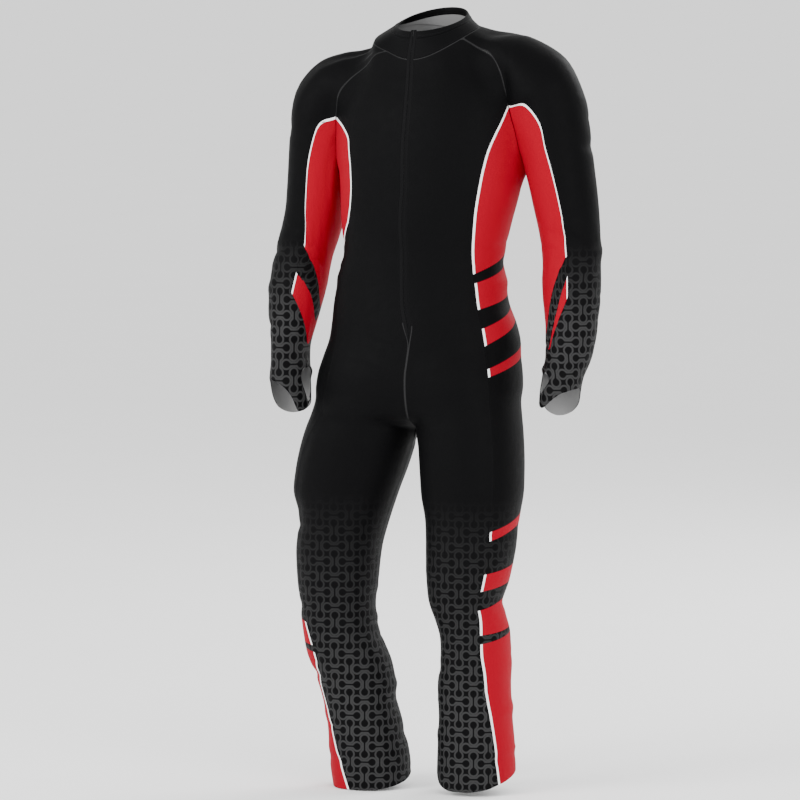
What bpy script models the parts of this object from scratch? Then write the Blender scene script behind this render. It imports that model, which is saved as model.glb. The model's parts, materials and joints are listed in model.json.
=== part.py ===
"""One-piece ski race suit, hollow, in the stance of a standing wearer.

Metres, +Z up. The wearer faces -Y and the wearer's left is +X. The origin is at the base of the neck.
Tables are in millimetres and degrees. Heights count from the origin, so most of them are negative.
"""

import math

import bmesh
import bpy
import numpy as np

MM = 0.001

CLOTH = 1.5 * MM
SEAM_GAP = 0.3 * MM
ARMHOLE_GAP = 1.4 * MM
COLLAR_CLOTH = 1.5 * MM
COLLAR_LIFT = 0.7 * MM
FACING_GAP = 0.6 * MM
BINDING_DEPTH = 13 * MM
ZIP_WIDTH = 15 * MM
ZIP_FOOT = 1.4 * MM
ZIP_RISE = 0.8 * MM

BLACK = (0.006, 0.006, 0.007)
RED = (0.52, 0.0, 0.012)
GREY = (0.25, 0.25, 0.25)

LEFT, RIGHT = 1, -1
SIDES = {LEFT: "left", RIGHT: "right"}

# ---------------------------------------------------------------- the general figure that fills the suit

TORSO = (
    # height, centre x, centre y, half width, depth ahead, depth behind, turn to the wearer's right
    (60, 0, -6, 70, 68, 66, 12),
    (25, 0, -4, 76, 74, 70, 12),
    (0, 0, -2, 86, 80, 74, 10),
    (-30, 0, 0, 115, 88, 80, 7),
    (-70, -1, 0, 158, 102, 92, 3),
    (-120, -2, -2, 178, 118, 102, 0),
    (-190, -3, -6, 181, 124, 108, 0),
    (-260, -3, -10, 177, 122, 106, 0),
    (-330, -10, -14, 166, 116, 102, -1),
    (-380, -13, -17, 157, 108, 98, -3),
    (-425, -16, -20, 160, 106, 98, -5),
    (-480, -17, -22, 168, 108, 104, -7),
    (-540, -9, -24, 181, 112, 112, -9),
    (-600, -16, -27, 186, 114, 122, -10),
    (-645, -21, -29, 178, 111, 119, -10),
    (-676, -26, -30, 150, 96, 104, -10),
    (-693, -29, -30, 110, 74, 80, -10),
    (-705, -31, -30, 56, 40, 44, -10),
    (-711, -31, -30, 2, 2, 2, -10),
)

LEGS = {
    # height, centre x, centre y, half width, depth ahead, depth behind, turn
    LEFT: (
        (-520, 60, -28, 20, 30, 30, 0),
        (-600, 75, -28, 82, 86, 96, 0),
        (-680, 82, -28, 96, 97, 106, 0),
        (-735, 86, -27, 97, 98, 106, 0),
        (-795, 88, -25, 96, 98, 104, 0),
        (-840, 88, -24, 94, 94, 100, 0),
        (-885, 88, -24, 86, 90, 94, 0),
        (-945, 85, -24, 82, 86, 88, 0),
        (-1005, 78, -22, 75, 79, 82, 0),
        (-1048, 74, -18, 67, 73, 74, 0),
        (-1080, 82, -10, 66, 71, 75, 0),
        (-1110, 85, -4, 63, 70, 77, 0),
        (-1154, 84, 2, 65, 70, 77, 0),
        (-1200, 78, 8, 67, 70, 76, 0),
        (-1260, 78, 14, 67, 71, 76, 0),
        (-1320, 77, 20, 71, 75, 78, 0),
        (-1400, 77, 20, 73, 77, 79, 0),
    ),
    RIGHT: (
        (-520, -85, -28, 20, 30, 30, 0),
        (-600, -107, -28, 84, 86, 96, 0),
        (-680, -125, -28, 101, 97, 106, 0),
        (-735, -142, -27, 107, 100, 106, 0),
        (-795, -160, -26, 105, 98, 105, 0),
        (-840, -171, -28, 99, 94, 100, 0),
        (-885, -172, -31, 85, 91, 94, 0),
        (-945, -183, -33, 79, 86, 88, 0),
        (-1005, -185, -35, 75, 80, 81, 0),
        (-1050, -187, -32, 70, 75, 76, 0),
        (-1110, -184, -24, 70, 73, 79, 0),
        (-1154, -172, -18, 77, 71, 81, 0),
        (-1200, -160, -10, 73, 71, 77, 0),
        (-1230, -156, -6, 68, 71, 75, 0),
        (-1290, -144, 0, 70, 74, 77, 0),
        (-1350, -138, 5, 75, 77, 79, 0),
        (-1420, -132, 8, 71, 76, 78, 0),
    ),
}

ARMS = {
    # centre x, centre y, height, half width, half depth; each row's section is square to the arm
    LEFT: (
        (30, 6, -44, 50, 50),
        (92, 6, -28, 52, 54),
        (148, 6, -30, 55, 58),
        (204, 6, -51, 61, 62),
        (232, 7, -96, 63, 66),
        (243, 9, -156, 64, 66),
        (251, 12, -215, 62, 64),
        (259, 15, -275, 61, 62),
        (267, 18, -331, 57, 60),
        (271, 20, -391, 54, 56),
        (274, 12, -451, 55, 56),
        (280, 0, -510, 49, 52),
        (280, -15, -570, 43, 46),
        (275, -24, -602, 37, 44),
        (271, -30, -632, 36, 47),
        (270, -36, -665, 35, 48),
        (268, -42, -700, 31, 46),
        (266, -48, -735, 31, 46),
        (264, -53, -775, 30, 44),
    ),
    RIGHT: (
        (-30, 6, -60, 50, 50),
        (-92, 6, -64, 52, 54),
        (-152, 6, -74, 56, 58),
        (-207, 6, -91, 61, 62),
        (-233, 7, -126, 62, 66),
        (-238, 9, -168, 60, 66),
        (-244, 12, -215, 59, 64),
        (-249, 14, -275, 59, 62),
        (-258, 14, -331, 56, 60),
        (-274, 8, -391, 54, 56),
        (-278, -12, -451, 54, 55),
        (-275, -42, -510, 47, 50),
        (-268, -68, -570, 36, 42),
        (-258, -89, -602, 35, 44),
        (-251, -105, -632, 37, 47),
        (-245, -117, -665, 37, 48),
        (-241, -125, -700, 34, 46),
        (-236, -131, -735, 31, 46),
        (-231, -136, -775, 30, 44),
    ),
}

ROUNDNESS = 2.15
LEG_BLEND = 26 * MM
HIP_BLEND = 50 * MM
ARM_BLEND = 34 * MM
WEB_END = {LEFT: -262, RIGHT: -275}
WEB_FADE = 30
SHOULDER_END = {LEFT: 205, RIGHT: 240}

# ------------------------------------------------------------------------------ seams, by height and angle
# Angles on the body count from the front of each section toward that side; on a sleeve, from the front
# over the outer side.

NECK_MEAN, NECK_SLOPE, NECK_SADDLE = 17, 28, 13

RAGLAN_FRONT = {
    # height, angle
    LEFT: ((13, 68), (-2, 77.7), (-18, 78.7), (-43, 77.3), (-72, 77.3), (-108, 77.2)),
    RIGHT: ((-6, 35.5), (-17, 47), (-39, 57.5), (-65, 66.5), (-92, 71.2), (-135, 77)),
}
RAGLAN_BACK = {
    LEFT: ((33, 128), (14, 125), (-12, 122.5), (-42, 119.5), (-72, 114), (-108, 108)),
    RIGHT: ((33, 128), (8, 122), (-22, 114), (-52, 109.5), (-88, 109.5), (-135, 108.5)),
}
SIDE_FRONT = {
    # height, angle of the seam between front and side panel
    LEFT: ((-108, 77.2), (-140, 70.5), (-176, 64.5), (-222, 60), (-279, 57.8), (-336, 58.8), (-393, 60),
           (-449, 61.5), (-522, 60), (-565, 60), (-612, 59.5)),
    RIGHT: ((-135, 77), (-155, 62), (-205, 54), (-252, 52.5), (-314, 54.5), (-370, 61.5), (-410, 66),
            (-450, 68), (-520, 68), (-565, 67), (-612, 65)),
}
SIDE_BACK = {
    LEFT: ((-108, 108), (-128, 112), (-170, 118), (-215, 122), (-276, 125), (-337, 125), (-393, 122),
           (-450, 120), (-520, 120), (-565, 121), (-612, 122)),
    RIGHT: ((-135, 108.5), (-155, 113), (-205, 120), (-252, 123), (-314, 124), (-369, 122), (-400, 121),
            (-450, 120), (-520, 120), (-565, 121), (-612, 122)),
}
LEG_FRONT = {
    # height, angle round the leg of the seam between front and side panel
    LEFT: ((-780, 49), (-850, 48), (-911, 47.4), (-993, 44.5), (-1052, 40.8), (-1100, 33.5), (-1140, 32),
           (-1185, 39.3), (-1231, 43.8), (-1261, 47.4), (-1307, 52), (-1352, 54.6), (-1400, 60)),
    RIGHT: ((-780, 50), (-850, 49), (-911, 48), (-993, 45), (-1045, 39), (-1090, 33), (-1129, 28.7),
            (-1155, 31), (-1202, 41.5), (-1250, 37), (-1295, 32.5), (-1345, 22.2), (-1402, 9.9)),
}
LEG_BACK = {
    LEFT: ((-780, 128), (-911, 131), (-993, 132), (-1100, 134), (-1185, 134), (-1261, 131), (-1400, 128)),
    RIGHT: ((-780, 128), (-911, 131), (-993, 132), (-1100, 134), (-1185, 134), (-1261, 131), (-1402, 128)),
}
INSEAM_ANGLE = 262
CROTCH_TOP, INSEAM_TOP = -612, -800
ZIP_END = -512
CROTCH_CENTRE = (-22, -29, -650)

APEX_ROWS = 3
YOKE_FOOT = -122
HEM_MEAN = -1392
BODY_HEIGHTS = (
    -190, -228, -266, -304, -342, -378, -412, -446, -482, -518, -550, -582, -612,
    -638, -664, -690, -716, -742, -770, -800,
    -840, -880, -915, -948, -980, -1012, -1044, -1076, -1108, -1142, -1178, -1214, -1250, -1288, -1328, -1366,
)
UPPER_SIDE_ROWS = 7

HEM = {
    # angle round the leg, height of the hem
    LEFT: ((0, -1398), (25, -1397), (45, -1391), (70, -1381), (90, -1374), (115, -1366), (180, -1356),
           (225, -1354), (270, -1355), (295, -1359), (315, -1385), (340, -1397), (360, -1398)),
    RIGHT: ((0, -1405), (45, -1405), (65, -1403), (100, -1385), (135, -1372), (180, -1366), (225, -1370),
            (245, -1380), (270, -1390), (300, -1398), (335, -1405), (360, -1405)),
}

SLEEVE_FRONT = {
    # distance down the sleeve, angle of the seam between sleeve and underarm panel
    LEFT: ((232, -22), (250, -8), (300, 0), (368, 8), (429, 12.5), (469, 13), (524, 14), (570, 16), (614, 16.5)),
    RIGHT: ((250, -16), (286, -8), (343, -3), (406, -5), (450, -13), (487, -19.5), (526, -20), (557, -18.5),
            (602, -17.6)),
}
SLEEVE_BACK = {
    LEFT: ((236, 198), (258, 188), (305, 181), (365, 177), (425, 175), (465, 175), (524, 176), (567, 178),
           (614, 180)),
    RIGHT: ((252, 200), (286, 188), (343, 184), (408, 184), (450, 186), (486, 190), (560, 194), (602, 196)),
}
UNDER_TIP = {
    # distance down the sleeve and angle of the panel's lower point
    LEFT: (716, -34),
    RIGHT: (690, -93),
}
ARMHOLE_X = {LEFT: 186, RIGHT: -190}
ARMHOLE_CENTRE = {LEFT: (6, -125), RIGHT: (6, -150)}
ARMHOLE_STEPS = 8
SLEEVE_STEPS = 10

CUFF = {
    # angle round the hand, distance down the sleeve of the cuff edge
    LEFT: ((-90, 818), (-45, 814), (-20, 807), (0, 796), (45, 775), (90, 768), (135, 790), (180, 822),
           (225, 830), (270, 818)),
    RIGHT: ((-90, 822), (-45, 812), (0, 788), (45, 766), (90, 762), (135, 792), (180, 825), (225, 833),
            (270, 822)),
}
THUMB_TOP = {LEFT: 743, RIGHT: 733}
THUMB_LENGTH = {LEFT: 54, RIGHT: 70}
THUMB_HALF_WIDTH = 13
WRIST_SEAM_END = {LEFT: -28, RIGHT: -80}
WRIST_RADIUS = 38

FRONT_COLUMNS, BACK_COLUMNS, SLEEVE_COLUMNS = 9, 8, 13

FOLDS = (
    # limb, side, station, angle, span either way, width, height, slope in millimetres per degree
    ("leg", LEFT, -905, 60, 80, 10, -3.5, 0.10),
    ("leg", LEFT, -1042, 90, 110, 12, -4.0, -0.05),
    ("leg", LEFT, -1066, 215, 90, 9, 3.0, 0.08),
    ("leg", LEFT, -1015, 200, 80, 11, 3.5, 0.10),
    ("leg", LEFT, -1172, 275, 70, 10, -2.5, 0.12),
    ("leg", LEFT, -1245, 120, 100, 12, 3.0, 0.10),
    ("leg", LEFT, -1290, 250, 90, 11, 3.0, -0.10),
    ("leg", LEFT, -1340, 60, 100, 10, -2.5, 0.08),
    ("leg", RIGHT, -905, 70, 80, 10, -3.5, 0.10),
    ("leg", RIGHT, -1060, 90, 110, 12, -3.5, -0.05),
    ("leg", RIGHT, -1085, 205, 90, 9, 3.0, 0.08),
    ("leg", RIGHT, -1030, 190, 80, 11, 3.5, 0.10),
    ("leg", RIGHT, -1188, 75, 70, 9, -4.5, 0.10),
    ("leg", RIGHT, -1210, 250, 80, 12, 3.0, 0.12),
    ("leg", RIGHT, -1262, 110, 90, 11, 3.0, 0.08),
    ("leg", RIGHT, -1305, 240, 90, 12, -3.0, -0.08),
    ("leg", RIGHT, -1350, 40, 90, 10, -2.5, 0.06),
    ("torso", LEFT, -400, 115, 55, 14, -4.0, 0.25),
    ("torso", LEFT, -440, 100, 50, 12, 3.0, 0.20),
    ("torso", RIGHT, -385, 112, 55, 14, -4.0, 0.25),
    ("torso", RIGHT, -432, 100, 50, 12, 3.0, 0.20),
    ("arm", LEFT, 330, 100, 80, 12, -3.0, 0.15),
    ("arm", LEFT, 492, 30, 75, 11, -4.0, 0.20),
    ("arm", LEFT, 520, 130, 75, 12, 3.5, -0.12),
    ("arm", LEFT, 560, 20, 80, 11, 3.0, 0.15),
    ("arm", LEFT, 640, 60, 90, 10, -2.5, 0.08),
    ("arm", RIGHT, 268, 90, 60, 12, -3.5, 0.12),
    ("arm", RIGHT, 500, 30, 75, 11, -4.0, 0.20),
    ("arm", RIGHT, 530, 120, 75, 12, 3.5, -0.12),
    ("arm", RIGHT, 575, 30, 80, 11, 3.0, 0.15),
    ("arm", RIGHT, 650, 60, 90, 10, -2.5, 0.08),
)

COLLAR_CENTRE = (-2, -6)
COLLAR_TOP_HALF, COLLAR_TOP_DEPTH = 65, 68
COLLAR_TOP_MEAN, COLLAR_TOP_SLOPE = 48, 21
COLLAR_TURN = 12
COLLAR_ROWS = 3
ZIP_END_RISE = 3 * MM


def through(keys, values, at):
    """Values of a smooth curve through the given rows, read at any key."""
    slopes = np.gradient(values, keys, axis=0)
    at = np.clip(at, keys[0], keys[-1])
    cell = np.clip(np.searchsorted(keys, at) - 1, 0, len(keys) - 2)
    span = (keys[cell + 1] - keys[cell])[:, None]
    t = (at - keys[cell])[:, None] / span
    start = (1 + 2 * t) * (1 - t) ** 2 * values[cell] + t * (1 - t) ** 2 * span * slopes[cell]
    end = t * t * (3 - 2 * t) * values[cell + 1] + t * t * (t - 1) * span * slopes[cell + 1]
    return start + end


class Column:
    """A tube that stands on end, given by level sections."""

    def __init__(self, rows):
        table = np.array(rows, float)[::-1]
        table[:, :6] *= MM
        table[:, 6] = np.radians(table[:, 6])
        self.keys = table[:, 0]
        self.values = table[:, 1:]

    def section(self, z):
        return through(self.keys, self.values, z).T

    def field(self, p):
        """Distance out of the tube, along the line from its centre."""
        cx, cy, half, ahead_depth, behind_depth, turn = self.section(p[:, 2])
        dx = p[:, 0] - cx
        dy = p[:, 1] - cy
        across = dx * np.cos(turn) - dy * np.sin(turn) + 1e-9
        ahead = -dx * np.sin(turn) - dy * np.cos(turn)
        depth = np.where(ahead > 0, ahead_depth, behind_depth)
        powers = (np.abs(across) / half) ** ROUNDNESS + (np.abs(ahead) / depth) ** ROUNDNESS
        reach = np.hypot(across, ahead)
        below = np.maximum(self.keys[0] - p[:, 2], 0)
        return reach - reach / powers ** (1 / ROUNDNESS) + 3 * below


class Limb:
    """A tube along a bent axis, with oval sections square to it."""

    STEPS = 40

    def __init__(self, rows, side):
        table = np.array(rows, float) * MM
        lengths = np.linalg.norm(np.diff(table[:, :3], axis=0), axis=1)
        self.keys = np.concatenate(([0], np.cumsum(lengths)))
        self.values = table
        self.length = self.keys[-1]
        self.side = side
        self.at = np.linspace(0, self.length, self.STEPS + 1)
        self.points = through(self.keys, table, self.at)[:, :3]

    def centre(self, s):
        return through(self.keys, self.values, s)[:, :3]

    def frame(self, s):
        """Front and outer directions square to the axis at station s."""
        step = 4 * MM
        tangent = self.centre(np.minimum(s + step, self.length)) - self.centre(np.maximum(s - step, 0))
        tangent /= np.linalg.norm(tangent, axis=1)[:, None]
        front = np.array([0.0, -1.0, 0.0]) + tangent * tangent[:, 1:2]
        front /= np.linalg.norm(front, axis=1)[:, None]
        return front, self.side * np.cross(front, tangent)

    def nearest(self, p):
        """Station on the axis nearest to each point."""
        start = self.points[:-1]
        run = np.diff(self.points, axis=0)
        size = (run ** 2).sum(axis=1)
        best = np.full(len(p), 1e9)
        station = np.zeros(len(p))
        for k in range(len(start)):
            t = np.clip(((p - start[k]) @ run[k]) / size[k], 0, 1)
            gap = ((p - start[k] - t[:, None] * run[k]) ** 2).sum(axis=1)
            nearer = gap < best
            best = np.where(nearer, gap, best)
            station = np.where(nearer, self.at[k] + t * (self.at[k + 1] - self.at[k]), station)
        return station

    def locate(self, p):
        """Station and angle of points near the tube."""
        s = self.nearest(p)
        front, outer = self.frame(s)
        off = p - self.centre(s)
        return s, np.arctan2((off * outer).sum(axis=1), (off * front).sum(axis=1))

    def field(self, p):
        s = self.nearest(p)
        values = through(self.keys, self.values, s)
        front, outer = self.frame(s)
        off = p - values[:, :3]
        u = (off * outer).sum(axis=1) + 1e-9
        w = (off * front).sum(axis=1)
        ratio = np.hypot(u / values[:, 3], w / values[:, 4])
        return np.linalg.norm(off, axis=1) - np.hypot(u, w) / ratio


def blend(a, b, width):
    """The lesser of two fields, rounded where they are within width of each other."""
    near = np.maximum(width - np.abs(a - b), 0) / width
    return np.minimum(a, b) - near * near * width / 4


TORSO_TUBE = Column(TORSO)
LEG_TUBES = {side: Column(rows) for side, rows in LEGS.items()}
ARM_TUBES = {side: Limb(rows, side) for side, rows in ARMS.items()}


def trunk_field(p):
    """Torso and legs."""
    lower = blend(LEG_TUBES[LEFT].field(p), LEG_TUBES[RIGHT].field(p), LEG_BLEND)
    return blend(TORSO_TUBE.field(p), lower, HIP_BLEND)


def add_arm(trunk, p, side, lift=0.0):
    """Trunk joined to one arm; lift takes the arm's share away."""
    out = trunk.copy()
    near = (side * p[:, 0] > 0) & (p[:, 2] > -900 * MM)
    if near.any():
        arm = ARM_TUBES[side].field(p[near]) + (lift[near] if np.ndim(lift) else lift)
        width = ARM_BLEND * np.clip((p[near, 2] / MM - WEB_END[side]) / WEB_FADE, 0.02, 1)
        out[near] = blend(trunk[near], arm, width)
    return out


def figure_field(p):
    """Negative inside the figure, zero on the surface that the cloth follows."""
    return add_arm(add_arm(trunk_field(p), p, LEFT), p, RIGHT)


def front_field(p):
    """The figure without its arms below the armpits."""
    lift = 4 * np.maximum(-300 * MM - p[:, 2], 0)
    return add_arm(add_arm(trunk_field(p), p, LEFT, lift), p, RIGHT, lift)


def shoulder_field(p, side):
    """One arm, with the trunk beside its upper end only."""
    arm = ARM_TUBES[side]
    beyond = np.maximum(arm.nearest(p) - SHOULDER_END[side] * MM, 0)
    return blend(trunk_field(p) + 4 * beyond, arm.field(p), ARM_BLEND)


def cast(origin, direction, field=figure_field):
    """Where rays that start inside a field first leave it."""
    t = np.zeros(len(origin))
    for _ in range(16):
        t = np.maximum(t - 0.75 * field(origin + t[:, None] * direction), 0)
    step = 0.1 * MM
    for _ in range(4):
        here = field(origin + t[:, None] * direction)
        further = field(origin + (t + step)[:, None] * direction)
        slope = np.maximum((further - here) / step, 0.15)
        t = t - np.clip(here / slope, -10 * MM, 10 * MM)
    return origin + t[:, None] * direction


def normals(p, field=figure_field):
    step = 0.5 * MM
    out = np.empty_like(p)
    for axis in range(3):
        shift = np.zeros(3)
        shift[axis] = step
        out[:, axis] = field(p + shift) - field(p - shift)
    return out / np.linalg.norm(out, axis=1)[:, None]


# ------------------------------------------------------------------------------------------ maps and folds

def table_curve(rows):
    """A function of the table's first column, in metres there and degrees in the second."""
    table = np.array(sorted(rows), float)
    keys = table[:, 0] * MM
    return lambda at: through(keys, table[:, 1:], np.atleast_1d(at))[:, 0]


def body_points(z, angle, side, field=figure_field):
    """Points of the torso at heights z and section angles, counted toward one side."""
    z = np.atleast_1d(np.asarray(z, float))
    cx, cy, _, _, _, turn = TORSO_TUBE.section(z)
    world = side * np.radians(angle) - turn
    origin = np.stack([cx, cy, z], axis=1)
    return cast(origin, np.stack([np.sin(world), -np.cos(world), np.zeros_like(z)], axis=1), field)


def leg_points(z, angle, side):
    """Points of one leg at heights z and angles round its centre."""
    z = np.atleast_1d(np.asarray(z, float))
    cx, cy = LEG_TUBES[side].section(z)[:2]
    world = np.radians(angle) + 0 * z
    origin = np.stack([cx, cy, z], axis=1)
    direction = np.stack([side * np.sin(world), -np.cos(world), np.zeros_like(z)], axis=1)
    return cast(origin, direction, trunk_field)


def half_axis(z, side):
    """A line inside one half of the torso that runs on down the leg."""
    tx, ty = TORSO_TUBE.section(z)[:2]
    lx, ly = LEG_TUBES[side].section(z)[:2]
    share = np.clip((-360 * MM - z) / (320 * MM), 0, 1)
    share = share * share * (3 - 2 * share)
    return tx + (1 - share) * side * 34 * MM + share * (lx - tx), ty + share * (ly - ty)


class HalfBody:
    """Heights and angles round the half axis, as a map of one half of torso and leg."""

    seam_field = staticmethod(front_field)

    def __init__(self, side, field):
        self.side = side
        self.field = field

    def locate(self, p):
        x, y = half_axis(p[:, 2], self.side)
        return p[:, 2], np.arctan2(self.side * (p[:, 0] - x), -(p[:, 1] - y))

    def surface(self, z, angle):
        x, y = half_axis(z, self.side)
        direction = np.stack([self.side * np.sin(angle), -np.cos(angle), np.zeros_like(z)], axis=1)
        return cast(np.stack([x, y, z], axis=1), direction, self.field)

    def fold(self, p):
        tx, ty, _, _, _, turn = TORSO_TUBE.section(p[:, 2])
        lx, ly = LEG_TUBES[self.side].section(p[:, 2])[:2]
        torso_angle = np.arctan2(p[:, 0] - tx, -(p[:, 1] - ty)) + turn
        leg_angle = np.arctan2(self.side * (p[:, 0] - lx), -(p[:, 1] - ly))
        height = fold_height("torso", self.side, p[:, 2], self.side * torso_angle)
        return height + fold_height("leg", self.side, p[:, 2], leg_angle)


class Sleeve:
    """Distances down the sleeve and angles round its axis, as a map of the sleeve."""

    seam_field = staticmethod(figure_field)

    def __init__(self, side, field):
        self.side = side
        self.tube = ARM_TUBES[side]
        self.field = field

    def locate(self, p):
        return self.tube.locate(p)

    def surface(self, s, angle):
        front, outer = self.tube.frame(s)
        direction = np.cos(angle)[:, None] * front + np.sin(angle)[:, None] * outer
        return cast(self.tube.centre(s), direction, self.field)

    def fold(self, p):
        s, angle = self.tube.locate(p)
        return fold_height("arm", self.side, s, angle)


def fold_height(limb, side, station, angle):
    """Height of the cloth's soft folds above the figure."""
    total = np.zeros_like(station)
    degrees = np.degrees(angle)
    for kind, fold_side, at, centre, span, width, height, slope in FOLDS:
        if (kind, fold_side) != (limb, side):
            continue
        away = (degrees - centre + 180) % 360 - 180
        middle = (at + slope * away) * MM
        ends = np.clip(1 - (away / span) ** 2, 0, 1) ** 1.5
        total += height * MM * ends * np.exp(-((station - middle) / (width * MM)) ** 2)
    return total


def unwrap(angles, start):
    """Angles along a line made continuous, the first one nearest to start."""
    out = np.unwrap(angles)
    return out + 2 * math.pi * np.round((start - out[0]) / (2 * math.pi))


def resample(points, count):
    """A line of points read again at equal steps along its length."""
    lengths = np.concatenate(([0], np.cumsum(np.linalg.norm(np.diff(points, axis=0), axis=1))))
    at = np.linspace(0, lengths[-1], count)
    return np.stack([np.interp(at, lengths, points[:, k]) for k in range(3)], axis=1)


def between(first, last, top, bottom, power):
    """Values over a grid that meet four edges and fade from them toward the middle."""
    u = np.linspace(0, 1, len(top))[None, :, None]
    v = np.linspace(0, 1, len(first))[:, None, None]
    near_first, near_last, near_top, near_bottom = (1 - u) ** power, u ** power, (1 - v) ** power, v ** power
    sides = near_first * first[:, None] + near_last * last[:, None]
    upper = top[None] - near_first * first[0] - near_last * last[0]
    lower = bottom[None] - near_first * first[-1] - near_last * last[-1]
    return sides + near_top * upper + near_bottom * lower


def patch(chart, first, last, top, bottom, starts, even_rows=False):
    """A grid of surface points between four seams.

    first and last run down the two sides, top and bottom run across; starts holds the angles, in
    degrees, near which first and last begin. With even rows the sides' uneven steps soon fade out.
    """
    lines = [np.stack(chart.locate(line), axis=1) for line in (first, last, top, bottom)]
    lines[0][:, 1] = unwrap(lines[0][:, 1], math.radians(starts[0]))
    lines[1][:, 1] = unwrap(lines[1][:, 1], math.radians(starts[1]))
    lines[2][:, 1] = unwrap(lines[2][:, 1], lines[0][0, 1])
    lines[3][:, 1] = unwrap(lines[3][:, 1], lines[0][-1, 1])
    if even_rows:
        share = np.linspace(0, 1, len(first))[:, None, None]
        places = lines[2][None] * (1 - share) + lines[3][None] * share
        still = np.zeros_like(lines[2])
        places = places + between(lines[0] - places[:, 0], lines[1] - places[:, -1], still, still, 3)
    else:
        places = between(*lines, 1)
    points = chart.surface(places[..., 0].ravel(), places[..., 1].ravel()).reshape(*places.shape[:2], 3)
    return points + between(first - points[:, 0], last - points[:, -1], top - points[0],
                            bottom - points[-1], 5)


# ------------------------------------------------------------------------------------------ solids of cloth

def principled(name, colour, roughness, metallic=0.0):
    material = bpy.data.materials.new(name)
    material.use_nodes = True
    shader = material.node_tree.nodes["Principled BSDF"]
    shader.inputs["Base Color"].default_value = (*colour, 1)
    shader.inputs["Roughness"].default_value = roughness
    shader.inputs["Metallic"].default_value = metallic
    material.diffuse_color = (*colour, 1)
    return material


def add_object(name, bm, colour, roughness=0.55, metallic=0.0, collection="ski_race_suit"):
    bmesh.ops.recalc_face_normals(bm, faces=bm.faces)
    if bm.calc_volume(signed=True) < 0:
        bmesh.ops.reverse_faces(bm, faces=bm.faces)
    bmesh.ops.triangulate(bm, faces=bm.faces)
    mesh = bpy.data.meshes.new(name)
    bm.to_mesh(mesh)
    bm.free()
    mesh.materials.append(principled(name, colour, roughness, metallic))
    mesh.shade_smooth()
    mesh.set_sharp_from_angle(angle=math.radians(50))
    item = bpy.data.objects.new(name, mesh)
    bpy.data.collections[collection].objects.link(item)
    return item


EDGES = {"first": np.s_[:, 0], "last": np.s_[:, -1], "top": np.s_[0], "bottom": np.s_[-1]}
NEXT_TO = {"first": np.s_[:, 1], "last": np.s_[:, -2], "top": np.s_[1], "bottom": np.s_[-2]}
UPPER_EDGES = {"first": SEAM_GAP, "last": SEAM_GAP, "top": SEAM_GAP}


def pull_in(points, edges, amount):
    """The grid with the named edges drawn inward along the cloth by an amount."""
    out = points.copy()
    for edge in edges:
        at = EDGES[edge]
        run = points[NEXT_TO[edge]] - points[at]
        length = np.maximum(np.linalg.norm(run, axis=-1, keepdims=True), 1e-9)
        out[at] = out[at] + run / length * amount
    return out


def slab(name, outer, inner, colour, roughness=0.55):
    """A closed solid between two grids of points."""
    rows, columns = outer.shape[:2]
    bm = bmesh.new()
    bmesh.ops.create_grid(bm, x_segments=columns - 1, y_segments=rows - 1, size=0.5)
    for vert in bm.verts:
        vert.co = (round((vert.co.x + 0.5) * (columns - 1)), round((vert.co.y + 0.5) * (rows - 1)), 0)
    extruded = bmesh.ops.extrude_face_region(bm, geom=bm.faces[:], use_keep_orig=True)
    for item in extruded["geom"]:
        if isinstance(item, bmesh.types.BMVert):
            item.co.z = 1
    for vert in bm.verts:
        i, j, layer = (int(round(value)) for value in vert.co)
        vert.co = (outer if layer else inner)[j, i]
    return add_object(name, bm, colour, roughness)


def facings(points, chart, top_facing=None):
    """Outward directions over a grid: its own, and those shared with the neighbours along its edges."""
    along = np.gradient(points, axis=0)
    across = np.gradient(points, axis=1)
    facing = np.cross(along, across)
    facing /= np.maximum(np.linalg.norm(facing, axis=-1, keepdims=True), 1e-12)
    middle = (len(points) // 2, points.shape[1] // 2)
    guide = normals(points[middle][None], chart.field)[0]
    if facing[middle] @ guide < 0:
        facing = -facing
    own = facing.copy()
    for edge in (np.s_[:, 0], np.s_[:, -1], np.s_[0], np.s_[-1]):
        facing[edge] = normals(points[edge], chart.seam_field)
    if top_facing is not None:
        facing[0, 1:-1] = top_facing[1:-1]
    return own, facing


def cloth(name, chart, points, colour, gaps, top_facing=None):
    """A panel of cloth: the grid's points on the figure, with folds, and a wall inside them.

    gaps holds the seam gap at each edge that is sewn to a neighbour.
    """
    own, facing = facings(points, chart, top_facing)
    fold = chart.fold(points.reshape(-1, 3)).reshape(*points.shape[:2], 1)
    clear = np.zeros(points.shape[:2] + (1,))
    for edge in gaps:
        clear[EDGES[edge]] = SEAM_GAP / 2
    outer = points + facing * fold - own * clear
    inner = outer - facing * CLOTH
    for edge, gap in gaps.items():
        outer = pull_in(outer, (edge,), gap / 2)
        inner = pull_in(inner, (edge,), gap / 2)
    return slab(name, outer, inner, colour)


# --------------------------------------------------------------------------------------------------- seams

def neck_height(angle):
    """Height of the neck seam at a section angle in degrees."""
    turn = np.radians(angle)
    return (NECK_MEAN - NECK_SLOPE * np.cos(turn) - NECK_SADDLE * np.cos(2 * turn)) * MM


def neck_line(first, last, count, side):
    """Points of the neck seam between two section angles."""
    angle = np.linspace(first, last, count)
    return body_points(neck_height(angle), angle, side)


def hem_height(side, angle):
    table = np.array(HEM[side], float)
    return np.interp(np.asarray(angle) % 360, table[:, 0], table[:, 1]) * MM


def hem_line(side, first, last, count):
    """Points of the hem between two angles round the leg."""
    angle = np.linspace(first, last, count)
    return leg_points(hem_height(side, angle), angle, side)


def raglan(rows, side):
    """A seam from the neck down to the top of the armhole."""
    table = np.array(rows, float)
    line = body_points(table[:, 0] * MM, table[:, 1], side)
    line[0] = body_points(neck_height(table[0, 1]), table[0, 1], side)[0]
    return line


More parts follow.
